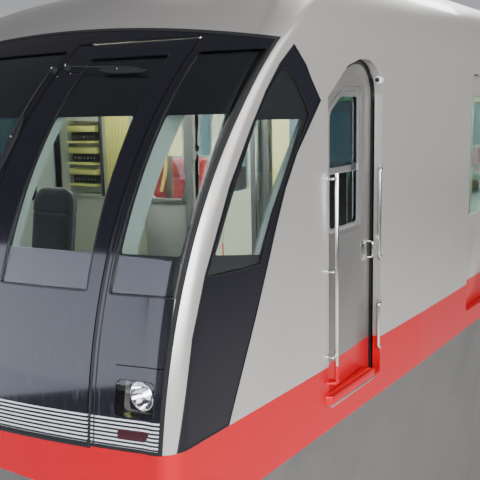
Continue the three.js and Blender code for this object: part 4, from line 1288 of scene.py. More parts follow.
# on the leaf: name, area, how far out and how thick, corner radius, bevel, material
crewFittings = [("Sash", ((-5.74, -5.335), (2.414, 2.45)), (-0.004, 0.016), 0.0, 0.003, aluminium),
                ("Latch", ((-5.43, -5.375), (2.42, 2.462)), (0.006, 0.02), 0.008, 0.002, darkPlastic),
                ("Stile", ((-5.472, -5.462), (2.106, 2.414)), (-0.012, 0.01), 0.0, 0.0, darkPlastic),
                ("HandlePlate", ((-5.29, -5.17), (1.86, 1.99)), (0.003, 0.012), 0.03, 0.001, stainless)]
for hand, end, side in bothSides:
    for part, material, (z0, z1) in (("Upper", stainless, (1.362, rail["top"])),
                                     ("Lower", redPaint, (rail["foot"], 1.36))):
        rod = addRound(f"crewRail{part}{end}", (rail["x"], rail["y"]), rail["radius"], (z0, z1), "z", 32, 0.003)
        fitted(rod, side, material, smooth=50)
    for z in (rail["top"] - 0.03, 1.9, 1.42):
        bracket = addRod(f"crewRailArm{end}",
                         [(rail["x"], rail["y"], z), (rail["x"], rail["y"] - 0.045, z),
                          (1.46, rail["y"] - 0.045, z)], 0.007, 0.015)
        fitted(bracket, side, stainless, smooth=50)
        flange = addRound(f"crewRailFlange{end}", (rail["y"] - 0.045, z), 0.017, (1.466, 1.478), "x", 28, 0.002)
        fitted(flange, side, stainless, smooth=50)
    foot = addPlate("crewRailFoot" + end, [(1.46, -5.83), (1.515, -5.785), (1.515, -5.745), (1.46, -5.745)],
                    "z", 1.262, 1.274, 0.006)
    fitted(bevelEdges(foot, 0.002), side, redPaint)
    for number, (z1, z0) in enumerate(rearRail["spans"], 1):
        x, y = rearRail["x"], rearRail["y"]
        path = [(x, -5.128, z1 - 0.012), (x, y, z1 - 0.012), (x, y, z0 + 0.012), (x, -5.128, z0 + 0.012)]
        rod = addRod(f"crewRearRail{number}{end}", path, rearRail["radius"], 0.014)
        fitted(rod, side, stainless, smooth=50)
        for z in (z1 - 0.012, z0 + 0.012):
            pad = addBlock(f"crewRearPad{number}{end}", (x - 0.016, x + 0.005), (-5.131, -5.1255),
                           about(z, 0.028), 0.003)
            fitted(pad, side, stainless)
    (y0, y1), (z0, z1) = step["y"], step["z"]
    outline = [(1.457, y0), (step["outX"], y0 + 0.03), (step["outX"], y1), (1.426, y1)]
    tread = addPlate("crewStep" + end, outline, "z", z0, z1, 0.008)
    cutWith(tread, addBlock("tray", (1.47, 1.497), (y0 + 0.05, y1 - 0.02), (z1 - 0.008, z1 + 0.1)))
    fitted(bevelEdges(tread, 0.002), side, redPaint)
    strip = addBlock("crewStepEdge" + end, (1.46, step["outX"] + 0.002), (y0 + 0.02, y1),
                     (z0 - 0.014, z0 - 0.001), 0.003)
    fitted(strip, side, aluminium)
    lampBody = addRound("crewLamp" + end, (1.466, 2.93), 0.022, (-5.175, -5.128), "y", 32, 0.004)
    fitted(lampBody, side, whitePaint, smooth=50)
    eye = addRound("crewLampEye" + end, (1.466, 2.93), 0.014, (-5.178, -5.174), "y", 28, 0.001)
    fitted(eye, side, fritBlack, smooth=50)
    # seal, sash, latch and handle on the leaf
    door = "crew_door_" + hand
    ring = addRing("crewSeal" + end, crewDoorOutline(0.0065), crewDoorOutline(0.024), "x", *reachX)
    cutWith(ring, crewSlab("slant", 0.002, 0.008), "INTERSECT")
    cutWith(ring, addBlock("rearGap", reachX, (-5.137, -5.1), (0, 4)))
    fitted(ring, side, sealRubber, door, "bellows_rubber")
    inner = drawnIn(crewWindow[::-1], -0.014)
    border = crewPlate("crewFrame" + end, inner, -0.002, 0.01, 0.045)
    cutWith(border, sideHole(drawnIn(crewWindow[::-1], 0.012), 0.03))
    fitted(bevelEdges(border, 0.003), side, aluminium, door)
    for part, area, (outward, thick), corner, edge, material in crewFittings:
        piece = crewPlate(f"crew{part}{end}", rectangle(*area), outward, thick, corner)
        if edge:
            bevelEdges(piece, edge)
        fitted(piece, side, material, door)
    bends = [(1.415, -5.18, 1.97), (1.45, -5.18, 1.97), (1.45, -5.18, 1.87), (1.415, -5.18, 1.87)]
    grip = addRod("crewHandle" + end, bends, 0.006, 0.02)
    fitted(grip, side, stainless, door, smooth=60)
print("handrails and steps done")

# inside: lining, partition, cab and saloon

lining = painted("lining", (0.4, 0.42, 0.4), 0.5, 0.0, dusty=0.05)
creamLining = painted("creamLining", (0.84, 0.8, 0.42), 0.5, 0.0, dusty=0.03)
vinyl = painted("vinyl", (0.16, 0.18, 0.2), 0.6, 0.0, dusty=0.3)

finished(addBlock("saloonFloor", (-1.375, 1.375), (-4.915, 7.075), (1.1305, 1.136)), vinyl)
finished(addBlock("cabFloor", (-1.3, 1.3), (-6.95, -4.965), (1.1305, 1.134)), vinyl)
ceilingOutline = [(-1.372, 3.06), (-1.12, 3.28), (1.12, 3.28), (1.372, 3.06), (1.378, 3.08), (1.13, 3.3),
                  (-1.13, 3.3), (-1.378, 3.08)]
ceiling = addPlate("saloonCeiling", ceilingOutline, "y", -4.915, 7.07)
finished(ceiling, creamLining)
finished(addBlock("cabCeiling", (-1.1, 1.1), (-5.7, -4.965), (3.2, 3.22), 0.005), lining)
for number, x in enumerate((-0.55, 0.55), 1):
    strip = addBlock(f"ceilingLight{number}", about(x, 0.07), (-4.7, 6.9), (3.268, 3.2795), 0.004)
    finished(strip, ceilingGlow)
    finished(addBlock(f"cabLight{number}", about(x, 0.06), (-5.6, -5.1), (3.19, 3.1995), 0.004), ceilingGlow)
for hand, end, side in bothSides:
    panel = addPlate("sidePanel" + end, rectangle((-4.9, 7.06), (1.14, 3.05)), "x", 1.372, 1.3795)
    for y in doorMiddles.values():
        cutWith(panel, sideHole(rectangle(about(y, body["doorHalf"]), (1.1, body["doorTop"])), 0.06))
    for span in windowSpans.values():
        cutWith(panel, sideHole(rectangle(span, body["windowZ"]), 0.08))
    cutWith(panel, addBlock("nosePart", reachX, (-5, -4.43), (1, 4)))
    fitted(panel, side, creamLining, slot="lining")

partition = {"y": (-4.96, -4.92), "reach": (-5.1, -4.8), "door": ((-0.06, 0.43), 3.0),
             "windows": {"left": ((0.56, 1.25), (1.95, 2.95)), "right": ((-0.54, -0.15), (2.11, 2.95))},
             "frameY": (-4.968, -4.912), "glassY": (-4.944, -4.938), "postY": (-4.99, -4.905)}
wall = addPlate("cabPartition", sectionArc(0.066) + [(-1.42, standZ), (1.42, standZ)], "y", *partition["y"])
(x0, x1), z1 = partition["door"]
cutWith(wall, addBlock("doorway", (x0, x1), partition["reach"], (1.0, z1)))
for (a, b), (c, d) in partition["windows"].values():
    cutWith(wall, addPlate("window", rectangle((a, b), (c, d)), "y", *partition["reach"], 0.06))
finished(bevelEdges(wall, 0.003), lining, slot="lining", replaces=["cab_partition"])
for spot, ((a, b), (c, d)) in partition["windows"].items():
    outer = rectangle(between(a, b, -0.02), between(c, d, -0.02))
    inner = rectangle(between(a, b, 0.012), between(c, d, 0.012))
    ring = addRing("partitionFrame" + spot.capitalize(), outer, inner, "y", *partition["frameY"], 0.07, 0.05)
    finished(bevelEdges(ring, 0.004), greyPlastic)
    pane = addPlate("partitionGlass" + spot.capitalize(),
                    rectangle(between(a, b, 0.002), between(c, d, 0.002)), "y", *partition["glassY"], 0.06)
    finished(pane, clearGlass)
posts = [addBlock("post", about(x, 0.04), partition["postY"], (1.14, 3.06), 0.012, 3)
         for x in (x0 - 0.04, x1 + 0.04)]
posts.append(addBlock("lintel", (x0 - 0.08, x1 + 0.08), partition["postY"], (z1, z1 + 0.07), 0.012, 3))
finished(joined("partitionPosts", posts), greyPlastic)
bends = [(0.52, -4.995, 1.3), (0.52, -5.04, 1.33), (0.52, -5.04, 2.75), (0.52, -4.995, 2.78)]
finished(addRod("partitionRail", bends, 0.012, 0.02), stainless, smooth=60)

# equipment rack with its three trays, a ribbed hose and a bright panel
rack = {"x": (-1.33, -0.56), "y": (-5.11, -4.9605), "top": 2.9, "bay": ((-1.225, -0.885), (2.15, 2.72)),
        "pitch": 0.168}
case = addBlock("equipmentRack", rack["x"], rack["y"], (standZ, rack["top"]), 0.006)
cutWith(case, addPlate("bay", rectangle(*rack["bay"]), "y", -5.2, -5.03, 0.02))
for z0, z1 in ((1.16, 1.62), (1.64, 2.12)):
    outer, inner = rectangle((-1.3, -0.59), (z0, z1)), rectangle((-1.294, -0.596), between(z0, z1, 0.006))
    cutWith(case, addRing("edge", outer, inner, "y", -5.2, -5.104, 0.01, 0.01))
finished(case, rackPaint, slot="rack_paint", replaces=["equipment_rack"])
for row in range(3):
    top = 2.685 - row * rack["pitch"]
    a, b = rack["bay"][0]
    box = addBlock(f"rackTray{row + 1}", between(a, b, 0.015), (-5.135, -5.032), (top - 0.05, top), 0.008)
    finished(box, yellowPanel)
    inside = addBlock(f"rackUnit{row + 1}", between(a, b, 0.025), (-5.1, -5.032), (top - 0.118, top - 0.052),
                      0.004)
    finished(inside, darkPlastic)
    lip = addBlock(f"rackLip{row + 1}", between(a, b, 0.02), (-5.155, -5.032), (top - 0.138, top - 0.12), 0.006)
    finished(lip, yellowPanel)
    knobs = [addRound("knob", (a + 0.06 + 0.035 * k, top - 0.085), 0.009, (-5.108, -5.099), "y", 16, 0.002)
             for k in range(7)]
    finished(joined(f"rackKnobs{row + 1}", knobs), greyPlastic)
hose = addRod("rackHose", [(-0.85, -5.128, 2.14), (-0.85, -5.128, 2.78)], 0.011)
rings = [addRound("ring", (-0.85, -5.128), 0.015, (2.15 + 0.02 * k, 2.16 + 0.02 * k), "z", 20, 0.002)
         for k in range(31)]
finished(joined("rackHoseRings", [hose] + rings), darkPlastic)
ribs = [addBlock("panel", (-0.815, -0.565), (-5.116, -5.108), (2.2, 2.87), 0.003)]
ribs += [addBlock("rib", (-0.8 + 0.035 * k, -0.788 + 0.035 * k), (-5.122, -5.114), (2.22, 2.85), 0.003)
         for k in range(7)]
finished(joined("rackPanel", ribs), yellowPanel)

# driver's desk with its panels, screens, keys and lever
deskShape = {"x": (-1.3, 0.25), "side": [(-6.9, standZ), (-6.45, standZ), (-6.45, 1.75), (-6.56, 1.9),
                                         (-6.9, 1.95), (-7.02, 1.7)]}
desk = addPlate("cabDesk", deskShape["side"], "x", *deskShape["x"])
finished(bevelEdges(desk, 0.008), darkPlastic, slot="desk_plastic", replaces=["cab_desk"])
for number, (x0, x1) in enumerate(((-1.15, -0.9), (-0.85, -0.45), (-0.4, -0.05)), 1):
    finished(addBlock(f"deskPanel{number}", (x0, x1), (-6.84, -6.6), (1.9, 1.955), 0.008), greyPlastic)
    screen = addBlock(f"deskScreen{number}", between(x0, x1, 0.02), (-6.82, -6.7), (1.95, 1.959), 0.003)
    finished(screen, fritBlack)
    keys = [addRound("key", (x0 + 0.04 + 0.03 * k, -6.65), 0.009, (1.95, 1.968), "z", 16, 0.002)
            for k in range(int((x1 - x0 - 0.06) / 0.03))]
    finished(joined(f"deskKeys{number}", keys), whitePaint)
stem = addRound("stem", (-0.62, -6.56), 0.012, (1.9, 2.03), "z", 20)
grip = moved(addRound("grip", (0, 0), 0.02, (-0.05, 0.05), "x", 24, 0.006), (-0.62, -6.56, 2.04))
finished(joined("deskLever", [stem, grip]), darkPlastic)
print("cab done")

# benches in the saloon
benchSpans = {"middle": (-1.35, 2.45), "rear": (5.26, 6.9)}
benchBase = [(1.379, 1.38), (1.379, 2.05), (1.3, 2.05), (1.26, 1.6), (0.9, 1.5), (0.9, 1.44), (0.96, 1.38)]
for spot, (y0, y1) in benchSpans.items():
    for hand, end, side in bothSides:
        base = addPlate(f"{spot}Bench{end}", benchBase, "y", y0, y1)
        fitted(bevelEdges(base, 0.006), side, greyPlastic, slot="seat_cloth",
               replaces=[f"bench_{spot}_{hand}"])
for hand, end, side in bothSides:
    for number, y in enumerate((-3.55, -2.07, -1.36, 2.47, 3.16, 4.64, 5.24), 1):
        x = 1.3 if number in (1, 2, 5, 6) else 0.84
        pole = addRound(f"pole{number}{end}", (x, y), 0.016, (1.136, 3.28 if x < 1 else 3.1), "z", 24)
        fitted(pole, side, stainless, smooth=50)
    path = [(0.7, -4.5, 3.28), (0.7, -4.5, 3.0), (0.7, 6.8, 3.0), (0.7, 6.8, 3.28)]
    fitted(addRod("hangRail" + end, path, 0.014, 0.05), side, stainless, smooth=60)
print("saloon done")

# running gear

gear = {"axleY": 0.75, "axleZ": 0.49, "guideX": 0.765, "guideY": 1.25, "guideZ": -0.25, "stabiliserZ": -1.13}


def tyreSection(outer, inner, half, grooves, depth=0.009):
    # a closed section of (radius, along): bead, wall, tread with its grooves, wall, bead
    rows = [(inner, -half * 0.86), (inner + 0.02, -half * 0.97), ((outer + inner) / 2, -half),
            (outer - 0.035, -half * 0.93), (outer - 0.008, -half * 0.8)]
    for along in grooves:
        rows += [(outer, along - 0.006), (outer - depth, along - 0.004), (outer - depth, along + 0.004),
                 (outer, along + 0.006)]
    return rows + [(r, -a) for r, a in reversed(rows[:5])]


def addBolts(name, radius, count, span, axis, size=0.011):
    bolts = []
    for i in range(count):
        angle = 2 * math.pi * i / count
        u, v = radius * math.cos(angle), radius * math.sin(angle)
        bolts.append(addRound("bolt", (u, v), size, span, axis, 6, 0.001))
    return joined(name, bolts)


# one driving wheel, at the middle of its twin
wheelTyre = addSpun("wheelTyre", tyreSection(0.49, 0.285, 0.122, (-0.06, -0.02, 0.02, 0.06)), "x", 72)
rimRows = [(0.283, -0.105), (0.295, -0.112), (0.295, -0.1), (0.27, -0.09), (0.268, 0.0), (0.25, 0.045),
           (0.16, 0.058), (0.11, 0.075), (0.0, 0.075), (0.0, 0.055), (0.1, 0.05), (0.15, 0.04),
           (0.235, 0.03), (0.25, -0.02), (0.252, -0.105)]
wheelRim = addSpun("wheelRim", rimRows, "x", 64)
outerRows = [(0.283, 0.105), (0.295, 0.112), (0.295, 0.1), (0.272, 0.088), (0.262, 0.03), (0.25, 0.03),
             (0.262, 0.1)]
rimOuter = addSpun("rimOuter", outerRows, "x", 64)
wheelBolts = addBolts("wheelBolts", 0.13, 10, (0.06, 0.085), "x", 0.013)
wheelRim = joined("wheelRim", [wheelRim, rimOuter, wheelBolts])

guideTyre = addSpun("guideTyre", tyreSection(0.365, 0.22, 0.088, (-0.035, 0.0, 0.035), 0.007), "z", 64)
guideRows = [(0.218, -0.075), (0.23, -0.082), (0.23, 0.082), (0.218, 0.075), (0.2, 0.03), (0.12, 0.01),
             (0.08, 0.04), (0.06, 0.08), (0.06, 0.1092), (0.0, 0.1092), (0.0, -0.085), (0.07, -0.085),
             (0.09, -0.06), (0.12, -0.02), (0.2, -0.03)]
guideRim = addSpun("guideRim", guideRows, "z", 56)
guideBolts = addBolts("guideBolts", 0.16, 8, (-0.022, 0.03), "z", 0.011)
guideRim = joined("guideRim", [guideRim, guideBolts])
axleRows = [(0, -0.4495), (0.075, -0.4495), (0.075, -0.35), (0.1, -0.34), (0.1, -0.3), (0.07, -0.1),
            (0.09, -0.06), (0.09, 0.06), (0.07, 0.1), (0.1, 0.3), (0.1, 0.34), (0.075, 0.35), (0.075, 0.4495),
            (0, 0.4495)]
axle = addSpun("axle", axleRows, "x", 40)
for name, middle in bogies.items():
    for letter, y in (("a", middle - gear["axleY"]), ("b", middle + gear["axleY"])):
        node = f"wheel_set_{name}_{letter}"
        spot = f"{name}{letter.upper()}"
        tyres, rims = [], [movedCopy(axle, "axlePart", (0, y, gear["axleZ"]))]
        for side in (1, -1):
            for whole, parts in ((wheelTyre, tyres), (wheelRim, rims)):
                twin = onSide(movedCopy(whole, "wheelPart", (0.2, 0, 0)), side)
                parts.append(moved(twin, (0, y, gear["axleZ"])))
        finished(joined("wheelTyres" + spot, tyres), tyreRubber, node, "tyre", [node], smooth=40)
        finished(joined("wheelRims" + spot, rims), rimPaint, node, "tyre", [node], smooth=40)
    for hand, end, side in bothSides:
        for tag, y, z in (("a", -gear["guideY"], gear["guideZ"]), ("b", gear["guideY"], gear["guideZ"]),
                          ("", 0.0, gear["stabiliserZ"])):
            node = f"guide_wheel_{name}_{hand}_{tag}" if tag else f"stabiliser_wheel_{name}_{hand}"
            spot = f"{name}{end}{tag.upper()}"
            place = (side * gear["guideX"], middle + y, z)
            finished(movedCopy(guideTyre, "guideTyre" + spot, place), tyreRubber, node, "tyre", [node],
                     smooth=40)
            finished(movedCopy(guideRim, "guideRim" + spot, place), rimPaint, node, "tyre", [node], smooth=40)
discard(wheelTyre, wheelRim, guideTyre, guideRim, axle)
print("wheels done")

# a bogie's own parts, modelled about its middle on the left side and turned over
frameShape = {"side": ((0.45, 0.56), (-1.42, 1.42), (0.36, 0.64)),
              "leg": [(0.48, 0.64), (0.88, 0.64), (0.88, 0.2), (0.86, -0.6), (0.86, -1.02), (0.56, -1.02),
                      (0.56, -0.7), (0.5, 0.2)],
              "end": [(0.45, 0.64), (0.88, 0.64), (0.88, -0.1395), (0.68, -0.1395), (0.6, 0.2), (0.45, 0.34)],
              "motor": (0.79, 0.52, 0.208, (0.385, 1.015))}


def bogieHalf():
    x, y, z = frameShape["side"]
    parts = [addBlock("beam", x, y, z, 0.012)]
    for k in range(9):
        at = -1.3 + 2.6 * k / 8
        parts.append(addBlock("rib", (x[1] - 0.002, x[1] + 0.02), about(at, 0.006),
                              (z[0] + 0.03, z[1] - 0.03), 0.002))
    leg = addPlate("leg", frameShape["leg"], "y", -0.15, 0.15)
    cutWith(leg, addPlate("window", rectangle((0.63, 0.79), (-0.55, 0.1)), "y", -0.3, 0.3, 0.05))
    parts.append(bevelEdges(leg, 0.01))
    for k in (-0.11, 0.11):
        parts.append(addBlock("web", (0.55, 0.87), about(k, 0.008), (-0.98, -0.62), 0.003))
    for span in ((1.15, 1.35), (-1.35, -1.15)):
        parts.append(bevelEdges(addPlate("end", frameShape["end"], "y", *span), 0.01))
    return parts


def motorParts():
    mx, mz, radius, (low, high) = frameShape["motor"]
    rows = [(0, low), (radius * 0.75, low), (radius * 0.8, low + 0.03), (radius * 0.96, low + 0.04),
            (radius * 0.96, high - 0.04), (radius * 0.8, high - 0.03), (radius * 0.75, high), (0, high)]
    parts = [addSpun("motor", rows, "y", 56, (mx, 0, mz))]
    for k in range(18):
        y = low + 0.07 + (high - low - 0.14) * k / 17
        parts.append(addSpun("fin", [(radius * 0.9, y - 0.004), (radius, y - 0.004), (radius, y + 0.004),
                                     (radius * 0.9, y + 0.004)], "y", 48, (mx, 0, mz)))
    parts.append(addBlock("mount", (0.54, 0.7), (low, high), (0.42, 0.62), 0.012))
    parts.append(addBlock("box", about(mx, 0.1), (low + 0.2, low + 0.42), (mz + 0.15, mz + 0.205), 0.01))
    parts.append(addBolts("bolts", 0.125, 8, (0, 0.01), "z"))
    parts[-1].data.transform(Matrix.Translation((mx, high, mz)) @ Matrix.Rotation(-math.pi / 2, 4, "X"))
    return parts


half = joined("bogieHalf", bogieHalf())
drive = joined("bogieDrive", motorParts())
springRows = [(0, 0.762), (0.19, 0.762), (0.2, 0.775), (0.213, 0.805), (0.213, 0.835), (0.195, 0.862),
              (0.188, 0.88), (0.2, 0.9), (0.214, 0.93), (0.214, 0.965), (0.198, 0.995), (0.192, 1.01),
              (0.19, 1.033), (0, 1.033)]
spring = addSpun("airSpring", springRows, "z", 48, (0.43, 0, 0))
for name, middle in bogies.items():
    node = "bogie_" + name
    parts = []
    for side in (1, -1):
        parts.append(onSide(copyOf(half, "part"), side))
        motor = copyOf(drive, "part")
        if side > 0:
            # the left motor points the other way
            motor.data.transform(Matrix.Scale(-1, 4, (0, 1, 0)))
            motor.data.flip_normals()
        else:
            onSide(motor, -1)
        parts.append(motor)
    for y0, y1, low in ((-0.18, 0.18, 0.33), (1.29, 1.42, 0.38), (-1.42, -1.29, 0.38)):
        parts.append(addBlock("cross", (-0.56, 0.56), (y0, y1), (low, 0.64), 0.012))
    parts.append(addBlock("bolster", (-0.64, 0.64), (-0.17, 0.17), (0.63, 0.77), 0.014))
    pinRows = [(0, 0.76), (0.15, 0.76), (0.15, 0.8), (0.11, 0.82), (0.11, 0.99), (0.15, 1.01), (0.15, 1.0395),
               (0, 1.0395)]
    parts.append(addSpun("pin", pinRows, "z", 40))
    for x in (-0.55, 0.55):
        parts.append(moved(addRound("damper", (0, 0), 0.03, (-0.09, 0.09), "y", 24, 0.004), (x, 0, 0.82)))
    whole = moved(joined("bogieFrame" + name.capitalize(), parts), (0, middle, 0))
    finished(whole, steelPaint, node, "frame_steel", [node])
    for hand, end, side in bothSides:
        bag = movedCopy(spring, f"airSpring{name.capitalize()}{end}", (0, middle, 0))
        fitted(bag, side, bellowsRubber, node, "frame_steel", [node], smooth=50)
discard(half, drive, spring)
print("bogies done")

# padded seats

def padCushion(name, x, y, z, round, cell=0.012, puff=0.024, pressure=4.0, corner=0.0, seams=()):
    # a soft cushion: a rounded block remeshed, blown up by the cloth simulation, its movement capped,
    # then subdivided and sewn in along its seams; a seam is (axis number, place, depth)
    if corner:
        soft = bevelEdges(addPlate(name, rectangle(x, z), "y", *y, round=corner, steps=8), round, 4)
    else:
        soft = addBlock(name, x, y, z, round, 4)
    remesh = soft.modifiers.new("remesh", "REMESH")
    remesh.mode = "VOXEL"
    remesh.voxel_size = cell
    activate(soft)
    bpy.ops.object.modifier_apply(modifier="remesh")
    before = [vertex.co.copy() for vertex in soft.data.vertices]
    cloth = soft.modifiers.new("cloth", "CLOTH")
    cloth.settings.use_pressure = True
    cloth.settings.uniform_pressure_force = pressure
    cloth.settings.effector_weights.gravity = 0.0
    for frameNumber in range(1, 21):
        bpy.context.scene.frame_set(frameNumber)
    activate(soft)
    bpy.ops.object.modifier_apply(modifier="cloth")
    bpy.context.scene.frame_set(1)
    for vertex, start in zip(soft.data.vertices, before):
        way = vertex.co - start
        if way.length > puff:
            vertex.co = start + way * (puff / way.length)
    smooth = soft.modifiers.new("smooth", "SMOOTH")
    smooth.iterations = 8
    finer = soft.modifiers.new("finer", "SUBSURF")
    finer.levels = finer.render_levels = 1
    activate(soft)
    bpy.ops.object.modifier_apply(modifier="smooth")
    bpy.ops.object.modifier_apply(modifier="finer")
    normals = [vertex.normal.copy() for vertex in soft.data.vertices]
    for vertex, normal in zip(soft.data.vertices, normals):
        for axis, place, depth in seams:
            away = abs(vertex.co[axis] - place) / (1.3 * cell)
            if away < 1 and abs(normal[axis]) < 0.8:
                vertex.co -= normal * depth * (1 - away * away) ** 2
    soft.data.update()
    return soft


def finishPad(soft, material, body, slot, replaces=()):
    finished(soft, material, body, slot, replaces, smooth=60)
    return soft


# the driver's seat: column, pan, cushion, back with its shell, and arms
columnRows = [(0, standZ), (0.12, standZ), (0.12, 1.16), (0.06, 1.18), (0.05, 1.44), (0.11, 1.46),
              (0.11, 1.5), (0, 1.5)]
column = addSpun("driverColumn", columnRows, "z", 36, (-0.56, -6.17, 0))
finished(column, steelPaint, slot="desk_fabric", replaces=["driver_seat"])
pan = addBlock("driverPan", (-0.77, -0.35), (-6.36, -5.95), (1.495, 1.53), 0.012, 3)
finished(pan, darkPlastic, slot="desk_fabric", replaces=["driver_seat"])
cushion = padCushion("driverCushion", (-0.78, -0.34), (-6.38, -5.97), (1.54, 1.615), 0.03,
                     seams=((2, 1.578, 0.005), (0, -0.68, 0.004), (0, -0.44, 0.004)))
finishPad(cushion, driverCloth, "car_body", "desk_fabric", ["driver_seat"])
back = padCushion("driverBack", (-0.77, -0.35), (-0.034, 0.034), (0.0, 0.69), 0.03, 0.013, 0.012, 2.5, 0.13,
                  seams=((1, 0.0, 0.005), (2, 0.5, 0.005), (2, 0.25, 0.004)))
back.data.transform(Matrix.Translation((0, -5.965, 1.62)) @ Matrix.Rotation(math.radians(-9), 4, "X"))
finishPad(back, driverCloth, "car_body", "desk_fabric", ["driver_seat"])
shellOutline = [(-5.925, 1.56), (-5.912, 1.56), (-5.838, 2.02), (-5.822, 2.14), (-5.834, 2.14), (-5.85, 2.02)]
shell = addPlate("driverShell", shellOutline, "x", -0.7, -0.42)
finished(bevelEdges(shell, 0.003), darkPlastic, slot="desk_fabric", replaces=["driver_seat"])
for x in (-0.81, -0.31):
    rest = addPlate("driverArm" + ("Right" if x < -0.5 else "Left"),
                    [(-6.3, 1.78), (-5.96, 1.8), (-5.96, 1.84), (-6.3, 1.82)], "x", x - 0.02, x + 0.02, 0.01)
    finished(bevelEdges(rest, 0.004), darkPlastic, slot="desk_fabric")
print("driver's seat done")

# saloon seats: one cushion and one back, copied along the benches
places = {"middle": (-1.3, 2.4, 8), "rear": (5.3, 6.86, 3)}
seatPad = padCushion("seatPad", (0.9, 1.27), (-0.215, 0.215), (1.515, 1.58), 0.026, 0.019, 0.018,
                     seams=((2, 1.548, 0.006),))
backPad = padCushion("backPad", (-0.026, 0.026), (-0.215, 0.215), (0.0, 0.4), 0.022, 0.019, 0.018,
                     seams=((0, 0.0, 0.006), (2, 0.3, 0.004)))
backPad.data.transform(Matrix.Translation((1.262, 0, 1.62)) @ Matrix.Rotation(math.radians(6), 4, "Y"))
for spot, (y0, y1, count) in places.items():
    for hand, end, side in bothSides:
        for number in range(count):
            y = y0 + (y1 - y0) * (number + 0.5) / count
            for part, source in (("Seat", seatPad), ("Back", backPad)):
                pad = onSide(movedCopy(source, f"{spot}{part}{number + 1}{end}", (0, y, 0)), side)
                finishPad(pad, seatCloth, "car_body", "seat_cloth", [f"bench_{spot}_{hand}"])

# seats behind the cab, facing forward, with a yellow rail
for hand, end, side in bothSides:
    x0, x1 = 0.47, 1.31
    for number, (a, b) in enumerate(((x0, 0.875), (0.905, x1)), 1):
        back = padCushion(f"frontBack{number}{end}", (a, b), (-0.035, 0.035), (0.0, 0.72), 0.03, 0.018, 0.02,
                          seams=((1, 0.0, 0.006), (2, 0.52, 0.006)))
        back.data.transform(Matrix.Translation((0, -4.33, 1.7)) @ Matrix.Rotation(math.radians(-7), 4, "X"))
        finishPad(onSide(back, side), seatCloth, "car_body", "seat_cloth")
        base = padCushion(f"frontSeat{number}{end}", (a, b), (-4.78, -4.38), (1.56, 1.64), 0.03, 0.018, 0.02,
                          seams=((2, 1.6, 0.006),))
        finishPad(onSide(base, side), seatCloth, "car_body", "seat_cloth")
    fitted(addBlock("frontPlinth" + end, (x0, x1), (-4.74, -4.3), (standZ, 1.55), 0.01), side, greyPlastic)
    rear = addPlate("frontShell" + end, [(-4.29, 1.5), (-4.27, 1.5), (-4.175, 2.4), (-4.195, 2.4)], "x", x0,
                    x1)
    fitted(bevelEdges(rear, 0.005), side, greyPlastic)
    bends = [(1.08, -4.262, 2.45), (0.91, -4.3, 2.46), (0.865, -4.34, 2.3), (0.91, -4.36, 2.1)]
    hoop = addRod("frontRail" + end, bends, 0.015, 0.07)
    fitted(hoop, side, yellowPanel, smooth=60)
discard(seatPad, backPad)
print("saloon seats done")

# under the floor and at the rear

equipment = {"x": (0.5, 1.3), "z": (-0.85, 1.039), "doorX": (1.292, 1.4)}
slab = addBlock("floorSlab", (-1.3795, 1.3795), (body["front"], body["rear"]), body["slabZ"], 0.002)
half = levelOutline(1.085, noseFront(1.085, 0.062), 0.062, 60)
plan = half + [(-x, y) for x, y in reversed(half[1:])]
noseSlab = addPlate("noseSlab", plan, "z", *body["slabZ"])
for piece in (slab, noseSlab):
    finished(piece, steelPaint, slot="frame_steel", replaces=["underframe"])
cases = [(-2.2, -1.05), (-1.0, 0.1), (0.15, 1.2), (1.25, 2.4)]
for hand, end, side in bothSides:
    for number, (y0, y1) in enumerate(cases, 1):
        low = equipment["z"][0] + (0.0 if number % 2 else 0.12)
        case = addBlock(f"case{number}{end}", equipment["x"], (y0, y1), (low, equipment["z"][1]), 0.015, 2)
        for z0, z1 in ((low + 0.06, 0.02), (0.07, 0.95)):
            outer = rectangle(between(y0, y1, 0.05), (z0, z1))
            inner = rectangle(between(y0, y1, 0.058), between(z0, z1, 0.008))
            cutWith(case, addRing("doorLine", outer, inner, "x", *equipment["doorX"], 0.03, 0.024))
        fitted(case, side, steelPaint, slot="frame_steel", replaces=["underframe"])
        fittings = []
        for y in between(y0, y1, 0.12):
            for z in (-0.05, 0.5):
                fittings.append(addBlock("latch", (1.298, 1.312), about(y, 0.02), about(z, 0.035), 0.004))
        for k in range(9):
            z = 0.14 + 0.035 * k
            fittings.append(addBlock("louvre", (1.296, 1.31), between(y0, y1, 0.25), (z, z + 0.012), 0.003))
        fitted(joined(f"caseFittings{number}{end}", fittings), side, greyPlastic)
pipes = [addRod("pipe", [(x, -4.2, 1.0), (x, 6.9, 1.0)], 0.02) for x in (-0.42, -0.36, 0.4)]
finished(joined("floorPipes", pipes), steelPaint)

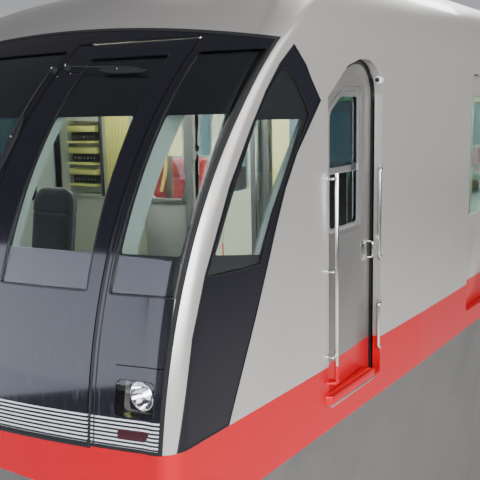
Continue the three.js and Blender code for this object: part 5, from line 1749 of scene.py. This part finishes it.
# gangway: bellows around the doorway, with a frame at their free end
gangway = {"out": rectangle((-0.56, 0.56), (1.0, 3.22)), "in": rectangle((-0.42, 0.42), (1.131, 3.06)),
           "coreOut": rectangle((-0.535, 0.535), (1.025, 3.195)),
           "coreIn": rectangle((-0.435, 0.435), (1.125, 3.075))}
folds = []
for k in range(6):
    y = 7.175 + 0.026 * k
    folds.append(bevelEdges(addRing("fold", gangway["out"], gangway["in"], "y", y, y + 0.016, 0.09), 0.006))
core = addRing("core", gangway["coreOut"], gangway["coreIn"], "y", 7.162, 7.345, 0.08)
finished(joined("gangwayBellows", folds + [core]), bellowsRubber, slot="bellows_rubber", replaces=["gangway"])
face = addRing("gangwayFrame", gangway["out"], gangway["in"], "y", 7.332, 7.35, 0.09)
finished(bevelEdges(face, 0.004), aluminium, slot="bellows_rubber", replaces=["gangway"])

# coupler: pivot, bar with its collar, and face with its four bolts
coupler = [addBlock("pivot", (-0.16, 0.16), (6.65, 6.95), (0.7, 1.0397), 0.02, 3),
           addBlock("head", (-0.13, 0.13), (7.31, 7.35), (0.72, 0.98), 0.012, 3),
           addRound("bar", (0, 0.85), 0.068, (6.72, 7.32), "y", 40, 0.006),
           addRound("collar", (0, 0.85), 0.088, (6.98, 7.06), "y", 40, 0.008)]
coupler += [addRound("bolt", (x, z), 0.014, (7.3, 7.3495), "y", 6, 0.002) for x in (-0.1, 0.1)
            for z in (0.75, 0.95)]
finished(joined("couplerParts", coupler), steelPaint, slot="frame_steel", replaces=["coupler"])

# rear wall: lamps, handrails and a jumper socket
for hand, end, side in bothSides:
    fitted(addRound("rearLamp" + end, (1.15, 1.5), 0.06, (7.155, 7.185), "y", 40, 0.008), side, tailRed)
    path = [(0.72, 7.16, 1.5), (0.72, 7.2, 1.5), (0.72, 7.2, 2.6), (0.72, 7.16, 2.6)]
    fitted(addRod("rearRail" + end, path, 0.012, 0.02), side, stainless, smooth=60)
    fitted(addBlock("rearSocket" + end, (0.8, 1.0), (7.155, 7.2), (1.06, 1.24), 0.012, 3), side, darkPlastic)
print("underside and rear done")

discard(noseShell, glassShell, fritShell, rubberShell)
